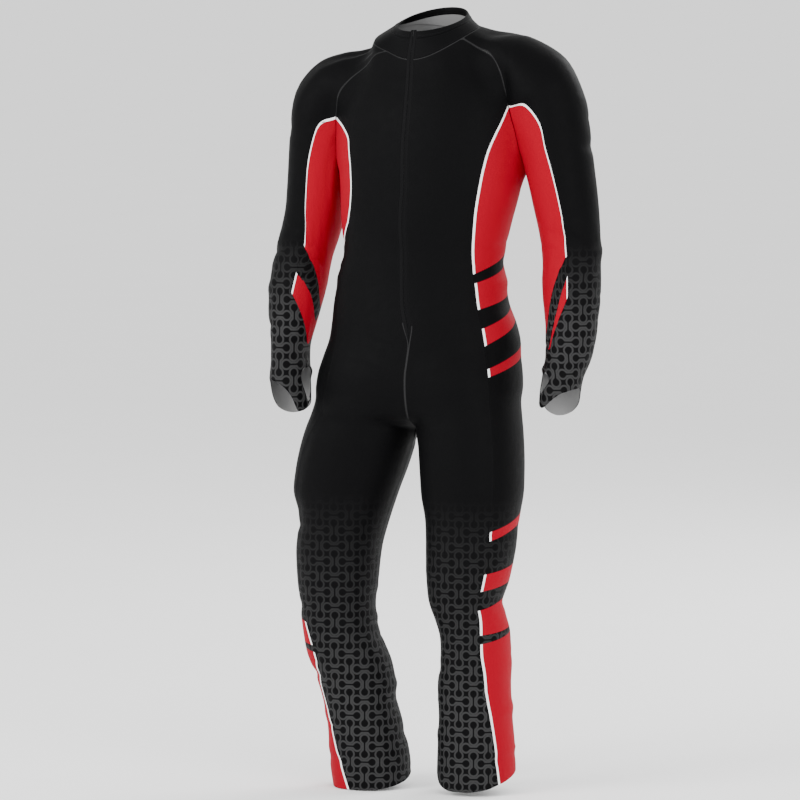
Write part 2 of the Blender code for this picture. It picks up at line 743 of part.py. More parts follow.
class Seams:
    """The seam lines of one half of the suit, as points on the figure."""

    def __init__(self, side):
        self.side = side
        self.body = HalfBody(side, front_field)
        self.trunk = HalfBody(side, trunk_field)
        self.raglan_front = raglan(RAGLAN_FRONT[side], side)
        self.raglan_back = raglan(RAGLAN_BACK[side], side)
        apex = SIDE_FRONT[side][0][0]
        upper = np.linspace(apex, BODY_HEIGHTS[0], APEX_ROWS + 1)[:-1]
        self.heights = np.concatenate([upper, BODY_HEIGHTS]) * MM
        self.side_front = self.side_seam(SIDE_FRONT[side], LEG_FRONT[side], self.raglan_front[-1])
        self.side_back = self.side_seam(SIDE_BACK[side], LEG_BACK[side], self.raglan_back[-1])
        self.outer_front = np.concatenate([self.raglan_front[:-1], self.side_front])
        self.outer_back = np.concatenate([self.raglan_back[:-1], self.side_back])
        self.centre_front = self.inner_edge(0, self.outer_front)
        self.centre_back = self.inner_edge(180, self.outer_back)
        self.armhole, self.armhole_facing = self.armhole_seam()

    def side_seam(self, torso_rows, leg_rows, start):
        """From the armhole down torso and leg to the hem."""
        torso = np.array(torso_rows, float)
        leg = np.array(leg_rows, float)
        known = np.concatenate([body_points(torso[:, 0] * MM, torso[:, 1], self.side, front_field),
                                leg_points(leg[:, 0] * MM, leg[:, 1], self.side)])
        z, angle = self.body.locate(known)
        order = np.argsort(z)
        heights = self.rows_to_hem(hem_height(self.side, leg[-1, 1]))
        turned = through(z[order], np.unwrap(angle[order])[:, None], heights)[:, 0]
        line = self.body.surface(heights, turned)
        line[0] = start
        return line

    def rows_to_hem(self, hem):
        """Heights of all rows, those of the lower leg spread to end at the hem."""
        top = INSEAM_TOP * MM
        spread = (hem - top) / (HEM_MEAN * MM - top)
        heights = np.where(self.heights < top, top + (self.heights - top) * spread, self.heights)
        return np.append(heights, hem)

    def inner_edge(self, angle, outer):
        """Down the centre from neck to crotch and down the inside of the leg to the hem."""
        crotch_top, inseam_top = CROTCH_TOP * MM, INSEAM_TOP * MM
        heights = centre_heights(angle)
        leg_rows = int((self.heights < inseam_top - MM).sum()) + 1
        crotch_rows = len(outer) - len(heights) - leg_rows
        upper = round(0.62 * crotch_rows)
        offset = np.zeros_like(heights)
        if angle == 0:
            reach = np.linalg.norm(body_points(heights, 0, self.side, front_field)[:, :2]
                                   - TORSO_TUBE.section(heights)[:2].T, axis=1)
            half = np.full(len(heights), ZIP_WIDTH / 2)
            half[zip_rows(heights):] = 0
            half[zip_rows(heights)] = ZIP_FOOT / 2
            offset = np.degrees(half / reach)
            self.zip_edge = offset[0]
        torso_part = body_points(heights, angle + offset, self.side, front_field)
        crotch = crotch_line(torso_part[-1])
        crotch_part = resample(crotch, upper + 1)[1:]
        thigh = np.linspace(crotch[-1, 2], inseam_top, crotch_rows - upper + 1)[1:]
        below = self.rows_to_hem(hem_height(self.side, INSEAM_ANGLE))[-leg_rows:]
        inseam = leg_points(np.concatenate([thigh, below]), INSEAM_ANGLE, self.side)
        return np.concatenate([torso_part, crotch_part, inseam])

    def armhole_seam(self):
        """From the front end of the raglan down under the arm and up to its back end, and the way out."""
        x0, (y0, z0) = ARMHOLE_X[self.side] * MM, (value * MM for value in ARMHOLE_CENTRE[self.side])
        front, back = self.raglan_front[-1], self.raglan_back[-1]
        start = math.atan2(-(front[1] - y0), -(front[2] - z0))
        end = math.atan2(-(back[1] - y0), -(back[2] - z0))
        count = ARMHOLE_STEPS + 1
        turn = np.linspace(start, end, count)
        share = np.linspace(0, 1, count)
        x = front[0] + (back[0] - front[0]) * share
        x = x + (x0 - x) * np.sin(math.pi * share)
        origin = np.stack([x, np.full(count, y0), np.full(count, z0)], axis=1)
        direction = np.stack([np.zeros(count), -np.sin(turn), -np.cos(turn)], axis=1)
        line = cast(origin, direction)
        line[0], line[-1] = front, back
        return line, direction


def centre_heights(angle):
    """Heights of the rows down the centre seam, from the neck to the top of the crotch's curve."""
    yoke = np.linspace(neck_height(angle), YOKE_FOOT * MM, len(RAGLAN_FRONT[LEFT]))
    chest = np.linspace(YOKE_FOOT, BODY_HEIGHTS[0], APEX_ROWS + 1)[1:] * MM
    return np.concatenate([yoke, chest, [z * MM for z in BODY_HEIGHTS[1:] if z >= CROTCH_TOP]])


def zip_rows(heights):
    """Number of rows down the centre front that the zip runs along."""
    return int(np.argmin(np.abs(heights - ZIP_END * MM))) + 1


def crotch_line(start):
    """Centre seam from the top of the crotch's curve round to the point between the legs."""
    centre = np.array(CROTCH_CENTRE) * MM
    run = start - centre
    level = math.hypot(run[0], run[1])
    ahead = run[:2] / level
    tilt = np.linspace(math.atan2(-run[2], level), math.pi / 2, 24)[1:]
    direction = np.stack([ahead[0] * np.cos(tilt), ahead[1] * np.cos(tilt), -np.sin(tilt)], axis=1)
    below = cast(np.repeat(centre[None], len(tilt), axis=0), direction, trunk_field)
    return np.concatenate([start[None], below])


# -------------------------------------------------------------------------------------------------- panels

def body_panels(seams):
    """Front and back panels, each from neck to ankle."""
    side = seams.side
    top = neck_line(seams.zip_edge, RAGLAN_FRONT[side][0][1], FRONT_COLUMNS, side)
    top[0], top[-1] = seams.centre_front[0], seams.raglan_front[0]
    hem = hem_line(side, INSEAM_ANGLE - 360, LEG_FRONT[side][-1][1], FRONT_COLUMNS)
    hem[0], hem[-1] = seams.centre_front[-1], seams.side_front[-1]
    front = patch(seams.body, seams.centre_front, seams.outer_front, top, hem, (-20, 60))
    cloth(f"front_{SIDES[side]}", seams.body, front, BLACK, UPPER_EDGES)

    top = neck_line(RAGLAN_BACK[side][0][1], 180, BACK_COLUMNS, side)
    top[0], top[-1] = seams.raglan_back[0], seams.centre_back[0]
    hem = hem_line(side, LEG_BACK[side][-1][1], INSEAM_ANGLE, BACK_COLUMNS)
    hem[0], hem[-1] = seams.side_back[-1], seams.centre_back[-1]
    back = patch(seams.body, seams.outer_back, seams.centre_back, top, hem, (110, 200))
    cloth(f"back_{SIDES[side]}", seams.body, back, BLACK, UPPER_EDGES)
    return front[0], back[0]


def side_panel(seams):
    """One long panel from the armhole down the side of body and leg."""
    side = seams.side
    columns = ARMHOLE_STEPS + 1
    at = UPPER_SIDE_ROWS
    level = np.stack(seams.trunk.locate(np.stack([seams.side_front[at], seams.side_back[at]])), axis=1)
    share = np.linspace(0, 1, columns)
    angle = level[0, 1] + (level[1, 1] % (2 * math.pi) - level[0, 1]) * share
    row = seams.trunk.surface(level[0, 0] + (level[1, 0] - level[0, 0]) * share, angle)
    row[0], row[-1] = seams.side_front[at], seams.side_back[at]
    upper = patch(seams.trunk, seams.side_front[:at + 1], seams.side_back[:at + 1], seams.armhole, row,
                  (60, 120), even_rows=True)
    hem = hem_line(side, LEG_FRONT[side][-1][1], LEG_BACK[side][-1][1], columns)
    hem[0], hem[-1] = seams.side_front[-1], seams.side_back[-1]
    lower = patch(seams.trunk, seams.side_front[at:], seams.side_back[at:], row, hem, (60, 120))
    points = np.concatenate([upper, lower[1:]])
    cloth(f"side_{SIDES[side]}", seams.trunk, points, RED, {**UPPER_EDGES, "top": ARMHOLE_GAP},
          seams.armhole_facing)


def sleeve_line(chart, rows, start):
    """A seam down the sleeve from the end of the raglan."""
    at = np.linspace(rows[0][0], rows[-1][0], SLEEVE_STEPS) * MM
    line = chart.surface(at, np.radians(table_curve(rows)(at)))
    return np.concatenate([start[None], line])


def cuff_station(side, angle):
    table = np.array(CUFF[side], float)
    return np.interp((angle + 90) % 360 - 90, table[:, 0], table[:, 1]) * MM


def wrist_seam(chart, side, start):
    """Both edges of the seam inside the wrist; they part round the thumb and meet again."""
    station, angle = chart.locate(start[None])
    station, angle = station[0], math.degrees(angle[0])
    end_angle = WRIST_SEAM_END[side]
    end = cuff_station(side, np.array([end_angle]))[0]
    top = THUMB_TOP[side] * MM
    bottom = top + THUMB_LENGTH[side] * MM
    at = np.concatenate([[(station + top) / 2], np.linspace(top, bottom, 7), [end]])
    share = np.clip((at - station) / (top - station), 0, 1)
    middle = angle + (end_angle - angle) * share
    opening = np.sin(math.pi * np.clip((at - top) / (bottom - top), 0, 1)) ** 0.8
    parted = np.degrees(opening * THUMB_HALF_WIDTH / WRIST_RADIUS)
    return chart.surface(at, np.radians(middle + parted)), chart.surface(at, np.radians(middle - parted))


def sleeve_panels(seams):
    """Raglan sleeve down to the hand, and the panel under the arm."""
    side = seams.side
    arm = ARM_TUBES[side]
    shoulder = Sleeve(side, lambda p: shoulder_field(p, side))
    inner_arm = Sleeve(side, arm.field)
    front = sleeve_line(shoulder, SLEEVE_FRONT[side], seams.raglan_front[-1])
    back = sleeve_line(shoulder, SLEEVE_BACK[side], seams.raglan_back[-1])
    ends = np.stack(arm.locate(np.stack([front[-1], back[-1]])), axis=1)
    ends[1, 1] -= 2 * math.pi * (ends[1, 1] > 0)
    corners = np.array([ends[0], (UNDER_TIP[side][0] * MM, math.radians(UNDER_TIP[side][1])), ends[1]])
    share = np.linspace(0, 1, ARMHOLE_STEPS + 1)
    station = np.interp(share, (0, 0.5, 1), corners[:, 0])
    tip = inner_arm.surface(station, np.interp(share, (0, 0.5, 1), corners[:, 1]))
    tip[0], tip[-1] = front[-1], back[-1]
    under = patch(inner_arm, front, back, seams.armhole, tip, (-30, -160))
    cloth(f"underarm_{SIDES[side]}", inner_arm, under, RED,
          {**UPPER_EDGES, "top": ARMHOLE_GAP, "bottom": SEAM_GAP}, seams.armhole_facing)

    half = ARMHOLE_STEPS // 2
    front_edge, back_edge = wrist_seam(shoulder, side, tip[half])
    first = np.concatenate([seams.raglan_front, front[1:], tip[1:half + 1], front_edge])
    last = np.concatenate([seams.raglan_back, back[1:], tip[half:-1][::-1], back_edge])
    top = neck_line(RAGLAN_FRONT[side][0][1], RAGLAN_BACK[side][0][1], SLEEVE_COLUMNS, side)
    top[0], top[-1] = first[0], last[0]
    angle = np.linspace(WRIST_SEAM_END[side], WRIST_SEAM_END[side] + 360, SLEEVE_COLUMNS)
    cuff = shoulder.surface(cuff_station(side, angle), np.radians(angle))
    cuff[0], cuff[-1] = first[-1], last[-1]
    points = patch(shoulder, first, last, top, cuff, (0, 180))
    cloth(f"sleeve_{SIDES[side]}", shoulder, points, BLACK, UPPER_EDGES)
    return top


# ---------------------------------------------------------------------------------------- collar and zip

def collar_frame(foot):
    """Top of the collar above each point of its foot, the way up to it and the way out."""
    centre = np.array([*COLLAR_CENTRE, 0.0]) * MM
    turn = math.radians(COLLAR_TURN)
    off = foot - centre
    angle = np.arctan2(off[:, 0], -off[:, 1]) + turn
    across = COLLAR_TOP_HALF * MM * np.sin(angle)
    ahead = COLLAR_TOP_DEPTH * MM * np.cos(angle)
    top = np.stack([
        centre[0] + across * math.cos(turn) - ahead * math.sin(turn),
        centre[1] - across * math.sin(turn) - ahead * math.cos(turn),
        (COLLAR_TOP_MEAN - COLLAR_TOP_SLOPE * np.cos(angle)) * MM], axis=1)
    rise = top - foot
    rise /= np.linalg.norm(rise, axis=1)[:, None]
    along = np.gradient(foot, axis=0)
    outward = np.cross(along, rise)
    outward /= np.linalg.norm(outward, axis=1)[:, None]
    if (outward * off).sum() < 0:
        outward = -outward
    return top, rise, outward


def collar_wall(name, frame, foot, low, high, inset, colour):
    """A wall of the collar from low above its foot to high below its top."""
    top, rise, outward = frame
    at_foot = normals(foot)
    start = foot + rise * low - at_foot * inset
    end = top - rise * high - outward * inset
    share = np.linspace(0, 1, COLLAR_ROWS)[:, None, None]
    outer = end[None] + (start - end)[None] * share
    outer = pull_in(outer, ("first", "last"), SEAM_GAP / 2)
    way = outward[None] + (at_foot - outward)[None] * share
    way /= np.linalg.norm(way, axis=-1, keepdims=True)
    return slab(name, outer, outer - way * COLLAR_CLOTH, colour)


def collar(foot):
    """Stand-up collar of outer cloth, grey facing inside and a folded binding over the top edge."""
    frame = collar_frame(foot)
    top, rise, outward = frame
    collar_wall("collar", frame, foot, COLLAR_LIFT, BINDING_DEPTH, 0, BLACK)
    collar_wall("collar_facing", frame, foot, COLLAR_LIFT, BINDING_DEPTH, COLLAR_CLOTH + FACING_GAP, GREY)
    wall = 2 * COLLAR_CLOTH + FACING_GAP
    reach = BINDING_DEPTH - SEAM_GAP
    outer_line = ((0, reach), (0, 0), (wall / 2, -0.8 * MM), (wall, 0), (wall, reach))
    outer = np.stack([top - outward * inset - rise * drop for inset, drop in outer_line])
    inner_line = ((wall / 2 - 0.15 * MM, reach), (wall / 2 - 0.15 * MM, 1.2 * MM), (wall / 2, 1 * MM),
                  (wall / 2 + 0.15 * MM, 1.2 * MM), (wall / 2 + 0.15 * MM, reach))
    inner = np.stack([top - outward * inset - rise * drop for inset, drop in inner_line])
    ends = ("first", "last")
    slab("collar_binding", pull_in(outer, ends, SEAM_GAP / 2), pull_in(inner, ends, SEAM_GAP / 2), BLACK)
    return frame


def front_zip(left, right, foot, frame):
    """Closed zip between the two fronts and the two ends of the collar."""
    rows = zip_rows(left[:, 2]) + 1
    top, rise, outward = frame
    left_edge = np.concatenate([[top[0] + rise[0] * ZIP_END_RISE], [(top[0] + foot[0]) / 2], left[:rows]])
    right_edge = np.concatenate([[top[-1] + rise[-1] * ZIP_END_RISE], [(top[-1] + foot[-1]) / 2], right[:rows]])
    facing_left = np.concatenate([[outward[0]], [outward[0]], normals(left[:rows], figure_field)])
    facing_right = np.concatenate([[outward[-1]], [outward[-1]], normals(right[:rows], figure_field)])
    facing = facing_left + facing_right
    facing /= np.linalg.norm(facing, axis=1)[:, None]
    middle = (left_edge + right_edge) / 2 + facing * ZIP_RISE
    outer = np.stack([left_edge, middle, right_edge], axis=1)
    inner = outer - np.stack([facing_left, facing, facing_right], axis=1) * CLOTH
    sides = ("first", "last")
    slab("front_zip", pull_in(outer, sides, SEAM_GAP / 2), pull_in(inner, sides, SEAM_GAP / 2), BLACK)


def main():
    for item in list(bpy.data.objects):
        bpy.data.objects.remove(item)
    for name in ("ski_race_suit", "cutters"):
        collection = bpy.data.collections.new(name)
        bpy.context.scene.collection.children.link(collection)
    halves, edges = [], []
    for side in (LEFT, RIGHT):
        seams = Seams(side)
        front, back = body_panels(seams)
        side_panel(seams)
        shoulder = sleeve_panels(seams)
        halves.append(np.concatenate([front, shoulder[1:], back[1:]]))
        edges.append(seams.centre_front)
    ring = np.concatenate([halves[0], halves[1][:-1][::-1]])
    frame = collar(ring)
    front_zip(edges[0], edges[1], ring, frame)


main()
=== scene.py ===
"""Ski race suit: printed stretch cloth in the stance of a standing wearer, with nobody in it.

Metres, +Z up. The wearer faces -Y and the wearer's left is +X. The origin is at the base of the neck.
Tables are in millimetres and degrees. Each cut piece is a thin shell between its seams.
"""

import json
import math

import bpy
import numpy as np
from mathutils import Matrix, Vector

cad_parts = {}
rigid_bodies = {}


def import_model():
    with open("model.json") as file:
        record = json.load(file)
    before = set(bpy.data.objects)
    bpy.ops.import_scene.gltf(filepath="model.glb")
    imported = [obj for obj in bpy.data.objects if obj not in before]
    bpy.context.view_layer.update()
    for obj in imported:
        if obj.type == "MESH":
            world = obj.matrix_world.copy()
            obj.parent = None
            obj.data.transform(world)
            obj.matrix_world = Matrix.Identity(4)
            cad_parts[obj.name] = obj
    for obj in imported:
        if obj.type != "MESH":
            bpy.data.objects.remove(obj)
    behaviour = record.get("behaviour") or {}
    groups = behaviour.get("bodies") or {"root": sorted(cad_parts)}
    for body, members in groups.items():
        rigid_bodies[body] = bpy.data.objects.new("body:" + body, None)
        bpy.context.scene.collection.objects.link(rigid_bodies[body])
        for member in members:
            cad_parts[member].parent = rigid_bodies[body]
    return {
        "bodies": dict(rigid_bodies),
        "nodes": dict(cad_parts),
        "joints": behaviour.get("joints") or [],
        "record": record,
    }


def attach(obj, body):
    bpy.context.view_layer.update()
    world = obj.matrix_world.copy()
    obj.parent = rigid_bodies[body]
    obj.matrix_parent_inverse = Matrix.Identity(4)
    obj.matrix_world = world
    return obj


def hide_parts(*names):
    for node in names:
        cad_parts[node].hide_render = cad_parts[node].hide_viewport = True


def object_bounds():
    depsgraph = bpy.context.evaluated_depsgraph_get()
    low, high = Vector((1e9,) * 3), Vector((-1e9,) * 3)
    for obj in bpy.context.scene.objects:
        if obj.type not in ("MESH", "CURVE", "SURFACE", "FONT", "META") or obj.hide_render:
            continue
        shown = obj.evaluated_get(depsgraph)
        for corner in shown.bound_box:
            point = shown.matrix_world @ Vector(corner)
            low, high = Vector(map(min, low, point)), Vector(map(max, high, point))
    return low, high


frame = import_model()
CAD_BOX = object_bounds()

MM = 0.001
CLOTH = 1.5 * MM
SEAM_GAP = 0.3 * MM
COLLAR_CLOTH = 1.5 * MM
BINDING_CLOTH = 0.55 * MM
TAPE_CLOTH = 0.7 * MM
COLLAR_LIFT = 0.7 * MM
FACING_GAP = 0.6 * MM
BINDING_DEPTH = 13 * MM
ZIP_WIDTH = 15 * MM
ZIP_FOOT = 1.4 * MM
LEFT, RIGHT = 1, -1
SIDES = {LEFT: "left", RIGHT: "right"}

TORSO = (
    # height, centre x, centre y, half width, depth ahead, depth behind, turn to the wearer's right
    (60, 0, -6, 70, 68, 66, 12), (25, 0, -4, 76, 74, 70, 12), (0, 0, -2, 86, 80, 74, 10),
    (-30, 0, 0, 115, 88, 80, 7), (-70, -1, 0, 158, 102, 92, 3), (-120, -2, -2, 178, 118, 102, 0),
    (-190, -3, -6, 181, 124, 108, 0), (-260, -3, -10, 177, 122, 106, 0), (-330, -10, -14, 166, 116, 102, -1),
    (-380, -13, -17, 157, 108, 98, -3), (-425, -16, -20, 160, 106, 98, -5), (-480, -17, -22, 168, 108, 104, -7),
    (-540, -9, -24, 181, 112, 112, -9), (-600, -16, -27, 186, 114, 122, -10), (-645, -21, -29, 178, 111, 119, -10),
    (-676, -26, -30, 150, 96, 104, -10), (-693, -29, -30, 110, 74, 80, -10), (-705, -31, -30, 56, 40, 44, -10),
    (-711, -31, -30, 2, 2, 2, -10),
)

LEGS = {
    # height, centre x, centre y, half width, depth ahead, depth behind, turn
    LEFT: (
        (-520, 60, -28, 20, 30, 30, 0), (-600, 75, -28, 82, 86, 96, 0), (-680, 82, -28, 96, 97, 106, 0),
        (-735, 86, -27, 97, 98, 106, 0), (-795, 88, -25, 96, 98, 104, 0), (-840, 88, -24, 94, 94, 100, 0),
        (-885, 88, -24, 86, 90, 94, 0), (-945, 85, -24, 82, 86, 88, 0), (-1005, 78, -22, 75, 79, 82, 0),
        (-1048, 74, -18, 67, 73, 74, 0), (-1080, 82, -10, 66, 71, 75, 0), (-1110, 85, -4, 63, 70, 77, 0),
        (-1154, 84, 2, 65, 70, 77, 0), (-1200, 78, 8, 67, 70, 76, 0), (-1260, 78, 14, 67, 71, 76, 0),
        (-1320, 77, 20, 71, 75, 78, 0), (-1400, 77, 20, 73, 77, 79, 0),
    ),
    RIGHT: (
        (-520, -85, -28, 20, 30, 30, 0), (-600, -107, -28, 84, 86, 96, 0), (-680, -125, -28, 101, 97, 106, 0),
        (-735, -142, -27, 107, 100, 106, 0), (-795, -160, -26, 105, 98, 105, 0), (-840, -171, -28, 99, 94, 100, 0),
        (-885, -172, -31, 85, 91, 94, 0), (-945, -183, -33, 79, 86, 88, 0), (-1005, -185, -35, 75, 80, 81, 0),
        (-1050, -187, -32, 70, 75, 76, 0), (-1110, -184, -24, 70, 73, 79, 0), (-1154, -172, -18, 77, 71, 81, 0),
        (-1200, -160, -10, 73, 71, 77, 0), (-1230, -156, -6, 68, 71, 75, 0), (-1290, -144, 0, 70, 74, 77, 0),
        (-1350, -138, 5, 75, 77, 79, 0), (-1420, -132, 8, 71, 76, 78, 0),
    ),
}

ARMS = {
    # centre x, centre y, height, half width, half depth; each row's section is square to the arm
    LEFT: (
        (30, 6, -44, 50, 50), (92, 6, -28, 52, 54), (148, 6, -30, 55, 58), (204, 6, -51, 61, 62),
        (232, 7, -96, 63, 66), (243, 9, -156, 64, 66), (251, 12, -215, 62, 64), (259, 15, -275, 61, 62),
        (267, 18, -331, 57, 60), (271, 20, -391, 54, 56), (274, 12, -451, 55, 56), (280, 0, -510, 49, 52),
        (280, -15, -570, 43, 46), (275, -24, -602, 37, 44), (271, -30, -632, 36, 47), (270, -36, -665, 35, 48),
        (268, -42, -700, 31, 46), (266, -48, -735, 31, 46), (264, -53, -775, 30, 44),
    ),
    RIGHT: (
        (-30, 6, -60, 50, 50), (-92, 6, -64, 52, 54), (-152, 6, -74, 56, 58), (-207, 6, -91, 61, 62),
        (-233, 7, -126, 62, 66), (-238, 9, -168, 60, 66), (-244, 12, -215, 59, 64), (-249, 14, -275, 59, 62),
        (-258, 14, -331, 56, 60), (-274, 8, -391, 54, 56), (-278, -12, -451, 54, 55), (-275, -42, -510, 47, 50),
        (-268, -68, -570, 36, 42), (-258, -89, -602, 35, 44), (-251, -105, -632, 37, 47),
        (-245, -117, -665, 37, 48), (-241, -125, -700, 34, 46), (-236, -131, -735, 31, 46),
        (-231, -136, -775, 30, 44),
    ),
}
ROUNDNESS = 2.15
LEG_BLEND = 26 * MM
HIP_BLEND = 50 * MM
ARM_BLEND = 34 * MM
WEB_END = {LEFT: -262, RIGHT: -275}
WEB_FADE = 30
SHOULDER_END = {LEFT: 205, RIGHT: 240}
NECK_MEAN, NECK_SLOPE, NECK_SADDLE = 17, 28, 13

RAGLAN_FRONT = {
    # height, angle
    LEFT: ((13, 68), (-2, 77.7), (-18, 78.7), (-43, 77.3), (-72, 77.3), (-108, 77.2)),
    RIGHT: ((-6, 35.5), (-17, 47), (-39, 57.5), (-65, 66.5), (-92, 71.2), (-135, 77)),
}

RAGLAN_BACK = {
    LEFT: ((33, 128), (14, 125), (-12, 122.5), (-42, 119.5), (-72, 114), (-108, 108)),
    RIGHT: ((33, 128), (8, 122), (-22, 114), (-52, 109.5), (-88, 109.5), (-135, 108.5)),
}

SIDE_FRONT = {
    # height, angle of the seam between front and side panel
    LEFT: ((-108, 77.2), (-140, 70.5), (-176, 64.5), (-222, 60), (-279, 57.8), (-336, 58.8), (-393, 60),
           (-449, 61.5), (-522, 60), (-565, 60), (-612, 59.5)),
    RIGHT: ((-135, 77), (-155, 62), (-205, 54), (-252, 52.5), (-314, 54.5), (-370, 61.5), (-410, 66),
            (-450, 68), (-520, 68), (-565, 67), (-612, 65)),
}

SIDE_BACK = {
    LEFT: ((-108, 108), (-128, 112), (-170, 118), (-215, 122), (-276, 125), (-337, 125), (-393, 122),
           (-450, 120), (-520, 120), (-565, 121), (-612, 122)),
    RIGHT: ((-135, 108.5), (-155, 113), (-205, 120), (-252, 123), (-314, 124), (-369, 122), (-400, 121),
            (-450, 120), (-520, 120), (-565, 121), (-612, 122)),
}

LEG_FRONT = {
    # height, angle round the leg of the seam between front and side panel
    LEFT: ((-780, 49), (-850, 48), (-911, 47.4), (-993, 44.5), (-1052, 40.8), (-1100, 33.5), (-1140, 32),
           (-1185, 39.3), (-1231, 43.8), (-1261, 47.4), (-1307, 52), (-1352, 54.6), (-1400, 60)),
    RIGHT: ((-780, 50), (-850, 49), (-911, 48), (-993, 45), (-1045, 39), (-1090, 33), (-1129, 28.7),
            (-1155, 31), (-1202, 41.5), (-1250, 37), (-1295, 32.5), (-1345, 22.2), (-1402, 9.9)),
}

LEG_BACK = {
    LEFT: ((-780, 128), (-911, 131), (-993, 132), (-1100, 134), (-1185, 134), (-1261, 131), (-1400, 128)),
    RIGHT: ((-780, 128), (-911, 131), (-993, 132), (-1100, 134), (-1185, 134), (-1261, 131), (-1402, 128)),
}
INSEAM_ANGLE = 262
CROTCH_TOP, INSEAM_TOP = -612, -800
ZIP_END = -512
CROTCH_CENTRE = (-22, -29, -650)
APEX_ROWS = 3
YOKE_FOOT = -122
HEM_MEAN = -1392

BODY_HEIGHTS = (
    -190, -228, -266, -304, -342, -378, -412, -446, -482, -518, -550, -582, -612,
    -638, -664, -690, -716, -742, -770, -800,
    -840, -880, -915, -948, -980, -1012, -1044, -1076, -1108, -1142, -1178, -1214, -1250, -1288, -1328, -1366,
)
UPPER_SIDE_ROWS = 7

HEM = {
    # angle round the leg, height of the hem
    LEFT: ((0, -1398), (25, -1397), (45, -1391), (70, -1381), (90, -1374), (115, -1366), (180, -1356),
           (225, -1354), (270, -1355), (295, -1359), (315, -1385), (340, -1397), (360, -1398)),
    RIGHT: ((0, -1405), (45, -1405), (65, -1403), (100, -1385), (135, -1372), (180, -1366), (225, -1370),
            (245, -1380), (270, -1390), (300, -1398), (335, -1405), (360, -1405)),
}

SLEEVE_FRONT = {
    # distance down the sleeve, angle of the seam between sleeve and underarm panel
    LEFT: ((232, -22), (250, -8), (300, 0), (368, 8), (429, 12.5), (469, 13), (524, 14), (570, 16), (614, 16.5)),
    RIGHT: ((250, -16), (286, -8), (343, -3), (406, -5), (450, -13), (487, -19.5), (526, -20), (557, -18.5),
            (602, -17.6)),
}

SLEEVE_BACK = {
    LEFT: ((236, 198), (258, 188), (305, 181), (365, 177), (425, 175), (465, 175), (524, 176), (567, 178),
           (614, 180)),
    RIGHT: ((252, 200), (286, 188), (343, 184), (408, 184), (450, 186), (486, 190), (560, 194), (602, 196)),
}

UNDER_TIP = {
    # distance down the sleeve and angle of the panel's lower point
    LEFT: (716, -34),
    RIGHT: (690, -93),
}
ARMHOLE_CENTRE = {LEFT: (186, 6, -125), RIGHT: (-190, 6, -150)}
ARMHOLE_STEPS = 8
SLEEVE_STEPS = 10

CUFF = {
    # angle round the hand, distance down the sleeve of the cuff edge
    LEFT: ((-90, 804), (-65, 806), (-42, 815), (-25, 821), (-13, 820), (0, 809), (12, 800), (25, 792), (47, 784),
           (70, 777), (89, 773), (108, 771), (118, 782), (128, 793), (157, 809), (183, 824), (208, 828),
           (243, 820), (270, 804)),
    RIGHT: ((-90, 816), (-70, 824), (-49, 825), (-38, 812), (-25, 796), (0, 780), (30, 767), (65, 758), (80, 777),
            (95, 792), (115, 806), (135, 813), (155, 817), (180, 814), (215, 802), (245, 797), (270, 816)),
}
THUMB_TOP = {LEFT: 755, RIGHT: 738}
THUMB_LENGTH = {LEFT: 42, RIGHT: 70}
THUMB_HALF_WIDTH = {LEFT: 18, RIGHT: 22}
WRIST_SEAM_END = {LEFT: -36, RIGHT: -94}
WRIST_RADIUS = 38
FRONT_COLUMNS, BACK_COLUMNS, SLEEVE_COLUMNS = 9, 8, 25
FADE_POWER = 5

